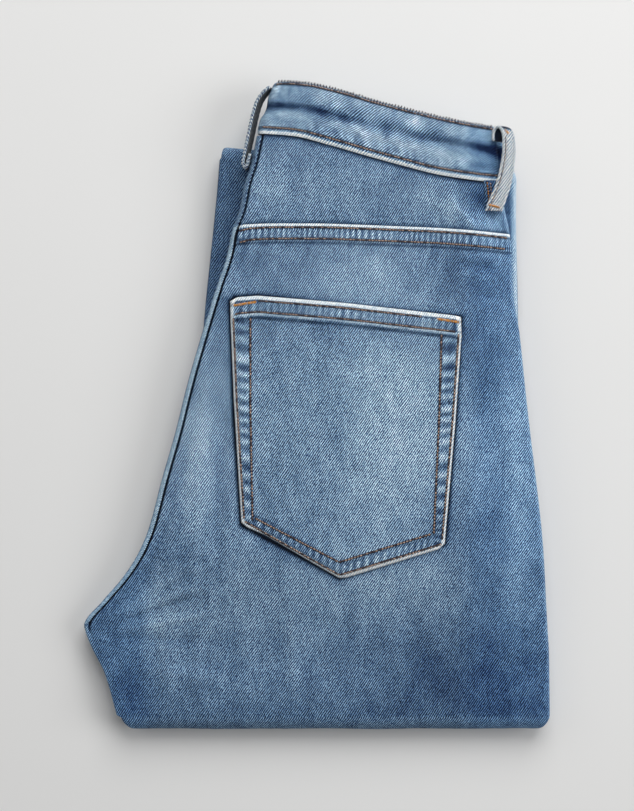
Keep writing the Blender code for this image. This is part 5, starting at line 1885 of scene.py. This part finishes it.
@dataclass(frozen=True)
class Value:
    """A number in a node tree; arithmetic on it adds maths nodes."""

    nodes: "Nodes"
    socket: NodeSocket

    def __add__(self, other: "Amount") -> "Value":
        """Sum."""
        return self.nodes.math("ADD", self, other)

    def __sub__(self, other: "Amount") -> "Value":
        """Difference."""
        return self.nodes.math("SUBTRACT", self, other)

    def __rsub__(self, other: float) -> "Value":
        """A plain number less this value."""
        return self.nodes.math("SUBTRACT", other, self)

    def __mul__(self, other: "Amount") -> "Value":
        """Product."""
        return self.nodes.math("MULTIPLY", self, other)

    def scaled(self, factor: float, offset: float) -> "Value":
        """This value times a factor, plus an offset."""
        return self.nodes.math("MULTIPLY_ADD", self, factor, offset)

    def within(self, low: float, high: Optional[float] = None) -> "Value":
        """This value, held at low or above and, where it is given, at high or below."""
        held = self.nodes.math("MAXIMUM", self, low)
        return held if high is None else self.nodes.math("MINIMUM", held, high)


Amount = Union[float, Value]


@dataclass
class Nodes:
    """Small helper that places nodes in a tree."""

    tree: NodeTree
    count: int = 0

    def add(self, kind: str, **values: object) -> Node:
        """Add a node and set its properties."""
        node = self.tree.nodes.new(kind)
        node.location = (180.0 * (self.count % 12), -220.0 * (self.count // 12))
        self.count += 1
        for key, value in values.items():
            setattr(node, key, value)
        return node

    def feed(self, node: Node, **inputs: Any) -> None:
        """Link or set a node's inputs; an underscore stands for a space in a name."""
        for name, value in inputs.items():
            self.join(value, node.inputs[name.replace("_", " ")])

    def join(self, source: Any, target: NodeSocket) -> None:
        """Give an input a value, a socket or a plain number."""
        source = source.socket if isinstance(source, Value) else source
        if isinstance(source, NodeSocket):
            self.tree.links.new(source, target)
        else:
            target.default_value = source

    def math(self, operation: str, *amounts: Amount, clamp: bool = False) -> Value:
        """A maths node on values or numbers."""
        node = self.add("ShaderNodeMath", operation=operation, use_clamp=clamp)
        for socket, amount in zip(node.inputs, amounts):
            self.join(amount, socket)
        return Value(self, node.outputs[0])

    def noise(self, x: Value, y: Value, sx: float, sy: float, detail: float, rough: float = 0.5) -> Value:
        """Flat noise.

        Args:
            x: First coordinate.
            y: Second coordinate.
            sx: Scale of the first coordinate.
            sy: Scale of the second coordinate.
            detail: Finer layers that are added.
            rough: Strength of each finer layer.

        Returns:
            The noise, from 0 to 1.
        """
        place = self.add("ShaderNodeCombineXYZ")
        self.feed(place, X=x * sx, Y=y * sy)
        made = self.add("ShaderNodeTexNoise", noise_dimensions="2D")
        self.feed(made, Scale=1.0, Detail=detail, Roughness=rough, Vector=place.outputs[0])
        return Value(self, made.outputs["Fac"])

    def mottle(self, scale: float, dark: tuple[float, Colour], light: tuple[float, Colour],
               shader: Node) -> NodeSocket:
        """Colour a shader by noise between two stops of a ramp.

        Args:
            scale: Scale of the noise.
            dark: Place and colour of the first stop.
            light: Place and colour of the second stop.
            shader: The shader that is coloured.

        Returns:
            The noise.
        """
        place = self.add("ShaderNodeTexCoord")
        noise = self.add("ShaderNodeTexNoise")
        self.feed(noise, Scale=scale, Vector=place.outputs["Object"])
        ramp = self.add("ShaderNodeValToRGB")
        for stop, (where, colour) in zip(ramp.color_ramp.elements, (dark, light)):
            stop.position, stop.color = where, colour
        self.feed(ramp, Fac=noise.outputs["Fac"])
        self.feed(shader, Base_Color=ramp.outputs[0])
        return noise.outputs["Fac"]

    def emboss(self, height: NodeSocket, strength: float, distance: float,
               shader: Node) -> None:
        """Bump a shader's surface by a height."""
        bump = self.add("ShaderNodeBump")
        self.feed(bump, Strength=strength, Distance=distance, Height=height)
        self.feed(shader, Normal=bump.outputs["Normal"])


def new_material(name: str) -> tuple[Material, Nodes, Node]:
    """A new material, with its nodes and its shader."""
    material = bpy.data.materials.new(name)
    material.use_nodes = True
    return material, Nodes(material.node_tree), material.node_tree.nodes["Principled BSDF"]


class Materials:
    """Denim and thread, made once each."""

    def __init__(self) -> None:
        """Make the weave that every denim shares."""
        self.weave = self._weave_group()
        self.made: dict[str, Material] = {}

    @staticmethod
    def _weave_group() -> NodeTree:
        """Right-hand twill with slubs and speckle, from the cloth's own coordinates."""
        group = bpy.data.node_groups.new("twill_weave", "ShaderNodeTree")
        nodes = Nodes(group)
        uv = nodes.add("ShaderNodeUVMap", uv_map="cloth")
        split = nodes.add("ShaderNodeSeparateXYZ")
        nodes.join(uv.outputs["UV"], split.inputs[0])
        u, v = (Value(nodes, split.outputs[axis]) * 1000.0 for axis in "XY")
        turn = math.radians(TWILL_ANGLE)
        across = u * math.sin(turn) - v * math.cos(turn)
        along = u * math.cos(turn) + v * math.sin(turn)
        wander = nodes.noise(u, v, 0.10, 0.07, 1.0)
        shifted = across + (wander - 0.5) * 0.9
        wave = nodes.math("SINE", shifted * (math.tau / TWILL_PITCH))
        line = wave.scaled(0.5, 0.5)
        firm = wave.scaled(2.2, -0.8).within(-1.0, 1.0)
        firm = firm + firm.within(0.0)
        strength = nodes.noise(across, along, 0.9, 0.6, 1.0).scaled(2.2, -0.22).within(0.1)
        grain = nodes.noise(across, along, 1.25, 0.55, 0.0)
        salt = nodes.noise(u, v, 1.35, 1.25, 0.0)
        slub = nodes.noise(u, v, 0.75, 0.05, 2.0, 0.6)
        cloud = nodes.noise(u, v, 0.11, 0.07, 2.0, 0.6)
        made = {
            "Tone": (firm * strength + (grain - 0.5) * 1.9 + (salt - 0.5) * 2.2).within(-1.02, 2.8),
            "Patch": (slub - 0.5) * 0.16 + (cloud - 0.5) * 0.26,
            "Height": line * 0.6 + salt * 0.4,
            "Slub": slub,
        }
        for name in made:
            group.interface.new_socket(name=name, in_out="OUTPUT", socket_type="NodeSocketFloat")
        nodes.feed(nodes.add("NodeGroupOutput"), **made)
        return group

    def get(self, kind: Kind) -> Material:
        """The denim of one kind.

        Args:
            kind: Which denim.

        Returns:
            Its material.
        """
        if kind.value in self.made:
            return self.made[kind.value]
        recipe = RECIPES[kind]
        material, nodes, shader = new_material(kind.value)
        weave = nodes.add("ShaderNodeGroup")
        weave.node_tree = self.weave
        tone, patch, slub = (Value(nodes, weave.outputs[name]) for name in ("Tone", "Patch", "Slub"))
        look = nodes.add("ShaderNodeAttribute", attribute_name="look")
        parts = nodes.add("ShaderNodeSeparateColor")
        nodes.join(look.outputs["Color"], parts.inputs[0])
        wear, fade, deep = (Value(nodes, parts.outputs[k]) for k in range(3))
        # The third channel of look, deeper dye and painted shade, darkens the ramp here and multiplies the colour down
        # below
        level = fade + recipe.shift + patch - deep * 0.16
        worn = nodes.math("MULTIPLY", wear, tone.scaled(0.12, 1.0), clamp=True)
        level = nodes.math("ADD", level, worn * (1.0 - level), clamp=True)
        ramp = nodes.add("ShaderNodeValToRGB")
        stops = ramp.color_ramp.elements
        for stop, (place, colour) in zip(stops, (DYE[0], DYE[-1])):
            stop.position, stop.color = place, paint(colour)
        for place, colour in DYE[1:-1]:
            stops.new(place).color = paint(colour)
        nodes.feed(ramp, Fac=level)
        plain = 1.0 - worn
        blue = Value(nodes, look.outputs["Alpha"]) * plain
        # Painted shade: the darkening multiplies the dyed colour down, to nearly black in the deepest grooves
        dark = deep.scaled(-0.55, 1.0).within(0.07)
        depth = plain.scaled(0.84, 0.16) * recipe.contrast * level.scaled(-0.75, 1.60)
        swing = tone * depth
        yarn = nodes.add("ShaderNodeCombineColor")
        for socket, share, tint in zip(yarn.inputs, YARN_SWING, BLUE_TINT):
            nodes.join(swing.scaled(share, 1.0).within(0.08) * blue.scaled(tint, 1.0) * dark, socket)
        dyed = nodes.add("ShaderNodeMix", data_type="RGBA", blend_type="MULTIPLY")
        nodes.feed(dyed, Factor=1.0)
        nodes.join(ramp.outputs[0], dyed.inputs[6])
        nodes.join(yarn.outputs[0], dyed.inputs[7])
        nodes.feed(shader, Base_Color=dyed.outputs[2], Roughness=slub.scaled(0.08, recipe.roughness - 0.04),
                   Sheen_Weight=recipe.sheen, Sheen_Roughness=0.5, Specular_IOR_Level=0.12)
        nodes.emboss(weave.outputs["Height"], 0.5, 0.00022, shader)
        self.made[kind.value] = material
        return material

    @staticmethod
    def thread(thread: Thread) -> Material:
        """Twisted sewing thread."""
        material, nodes, shader = new_material(thread.value)
        dark, light = (paint([min(255, int(c * gain)) for c in THREADS[thread]]) for gain in (0.62, 1.16))
        noise = nodes.mottle(900.0, (0.30, dark), (0.70, light), shader)
        nodes.feed(shader, Roughness=0.6)
        nodes.emboss(noise, 0.4, 0.0001, shader)
        return material


class Studio:
    """Floor, light and camera of the photo."""

    @staticmethod
    def floor() -> None:
        """Plain pale floor."""
        mesh = bpy.data.meshes.new("studio_floor")
        corners = ((-1, -1), (1, -1), (1, 1), (-1, 1))
        mesh.from_pydata([(x * FLOOR_REACH, y * FLOOR_REACH, 0.0) for x, y in corners], [], [(0, 1, 2, 3)])
        floor = bpy.data.objects.new("studio_floor", mesh)
        material, nodes, shader = new_material("floor_paint")
        nodes.mottle(3.0, (0.0, (0.790, 0.790, 0.786, 1.0)), (1.0, (0.820, 0.820, 0.818, 1.0)), shader)
        nodes.feed(shader, Roughness=0.7, Specular_IOR_Level=0.2)
        mesh.materials.append(material)
        bpy.context.scene.collection.objects.link(floor)
        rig.stage(floor)

    @staticmethod
    def lamp(name: str, place: tuple[float, float, float], size: float, energy: float,
             colour: tuple[float, float, float] = (1.0, 1.0, 1.0)) -> None:
        """One soft area light that looks at the jeans."""
        light = bpy.data.lights.new(name, "AREA")
        light.shape = "DISK"
        light.size = size
        light.energy = energy
        light.color = colour
        lamp = bpy.data.objects.new(name, light)
        lamp.location = place
        lamp.rotation_euler = (-Vector(place)).to_track_quat("-Z", "Y").to_euler()
        bpy.context.scene.collection.objects.link(lamp)

    @classmethod
    def lights(cls) -> None:
        """Window-like key from the upper right, and soft fill."""
        cls.lamp("key", (0.33, 1.62, 1.58), 2.0, 41.5, (1.0, 0.998, 0.99))
        cls.lamp("side", (1.65, 0.02, 1.25), 1.4, 17.0)
        cls.lamp("left", (-1.50, 0.85, 1.30), 1.6, 4.5)
        world = bpy.data.worlds.new("studio_world")
        world.use_nodes = True
        sky = world.node_tree.nodes["Background"]
        sky.inputs[0].default_value = (1.0, 0.995, 0.985, 1.0)
        sky.inputs[1].default_value = SKY_STRENGTH
        bpy.context.scene.world = world
        bpy.context.scene.view_settings.view_transform = "Standard"

    @staticmethod
    def camera() -> None:
        """Straight down, with the waist at the top of the picture."""
        data = bpy.data.cameras.new("photo_camera")
        data.lens = LENS
        data.sensor_width = 36.0
        data.sensor_fit = "AUTO"
        camera = bpy.data.objects.new("photo_camera", data)
        camera.location = (PHOTO_CENTRE[0] * MM, PHOTO_CENTRE[1] * MM, CAMERA_HEIGHT * MM)
        bpy.context.scene.collection.objects.link(camera)
        bpy.context.scene.camera = camera


def declare_sheets(jeans: Jeans) -> None:
    """State the cut of every sheet of cloth."""
    cuts = {
        "right_back_cloth": Cut(0.310, 0.925, 0.212, "studio_floor"),
        "left_back_cloth": Cut(0.310, 0.925, 0.212, "studio_floor"),
        "front_layer_cloth": Cut(0.300, 0.945, 0.275, "left_back_cloth"),
        "right_yoke_cloth": Cut(0.175, 0.062, 0.0088, "front_layer_cloth"),
        "left_yoke_cloth": Cut(0.175, 0.062, 0.0088, "left_back_cloth"),
        "waistband_cloth": Cut(0.630, 0.045, 0.0280, "left_back_cloth"),
        "pocket_cloth": Cut(0.152, 0.182, 0.0245, "right_back_cloth"),
        "centre_loop_cloth": Cut(0.0155, 0.078, 0.00120, "waistband_cloth"),
        "right_loop_cloth": Cut(0.0155, 0.072, 0.00111, "waistband_cloth"),
        "left_loop_cloth": Cut(0.0155, 0.050, 0.00077, "waistband_cloth"),
        "right_loop_tab_cloth": Cut(0.0115, 0.021, 0.00023, "right_yoke_cloth"),
        "right_hem_cloth": Cut(0.350, 0.031, 0.0108, "left_hem_cloth"),
        "left_hem_cloth": Cut(0.350, 0.031, 0.0108, "studio_floor"),
    }
    for name, cut in cuts.items():
        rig.sheet(jeans.pieces[name], flat=(cut.width, cut.length), area=cut.area, held="folded",
                 rests_on=[cut.rests_on])


def main() -> None:
    """Dress the folded jeans and set the photo's stage."""
    logging.basicConfig(level=logging.INFO)
    Studio.floor()
    Studio.lights()
    Studio.camera()
    jeans = Jeans(Materials())
    jeans.right_back()
    jeans.left_back()
    jeans.front_layers()
    jeans.yokes()
    jeans.band()
    jeans.pocket()
    jeans.loops()
    jeans.hems()
    sewing = Sewing(jeans)
    sewing.all_rows()
    sewing.build()
    declare_sheets(jeans)
    boxes = {"cad": [list(corner) for corner in CAD_BOX], "scene": [list(corner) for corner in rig.bounds()]}
    Path("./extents.json").write_text(json.dumps(boxes))
    log.info("boxes %s", boxes)


if __name__ == "__main__":
    main()
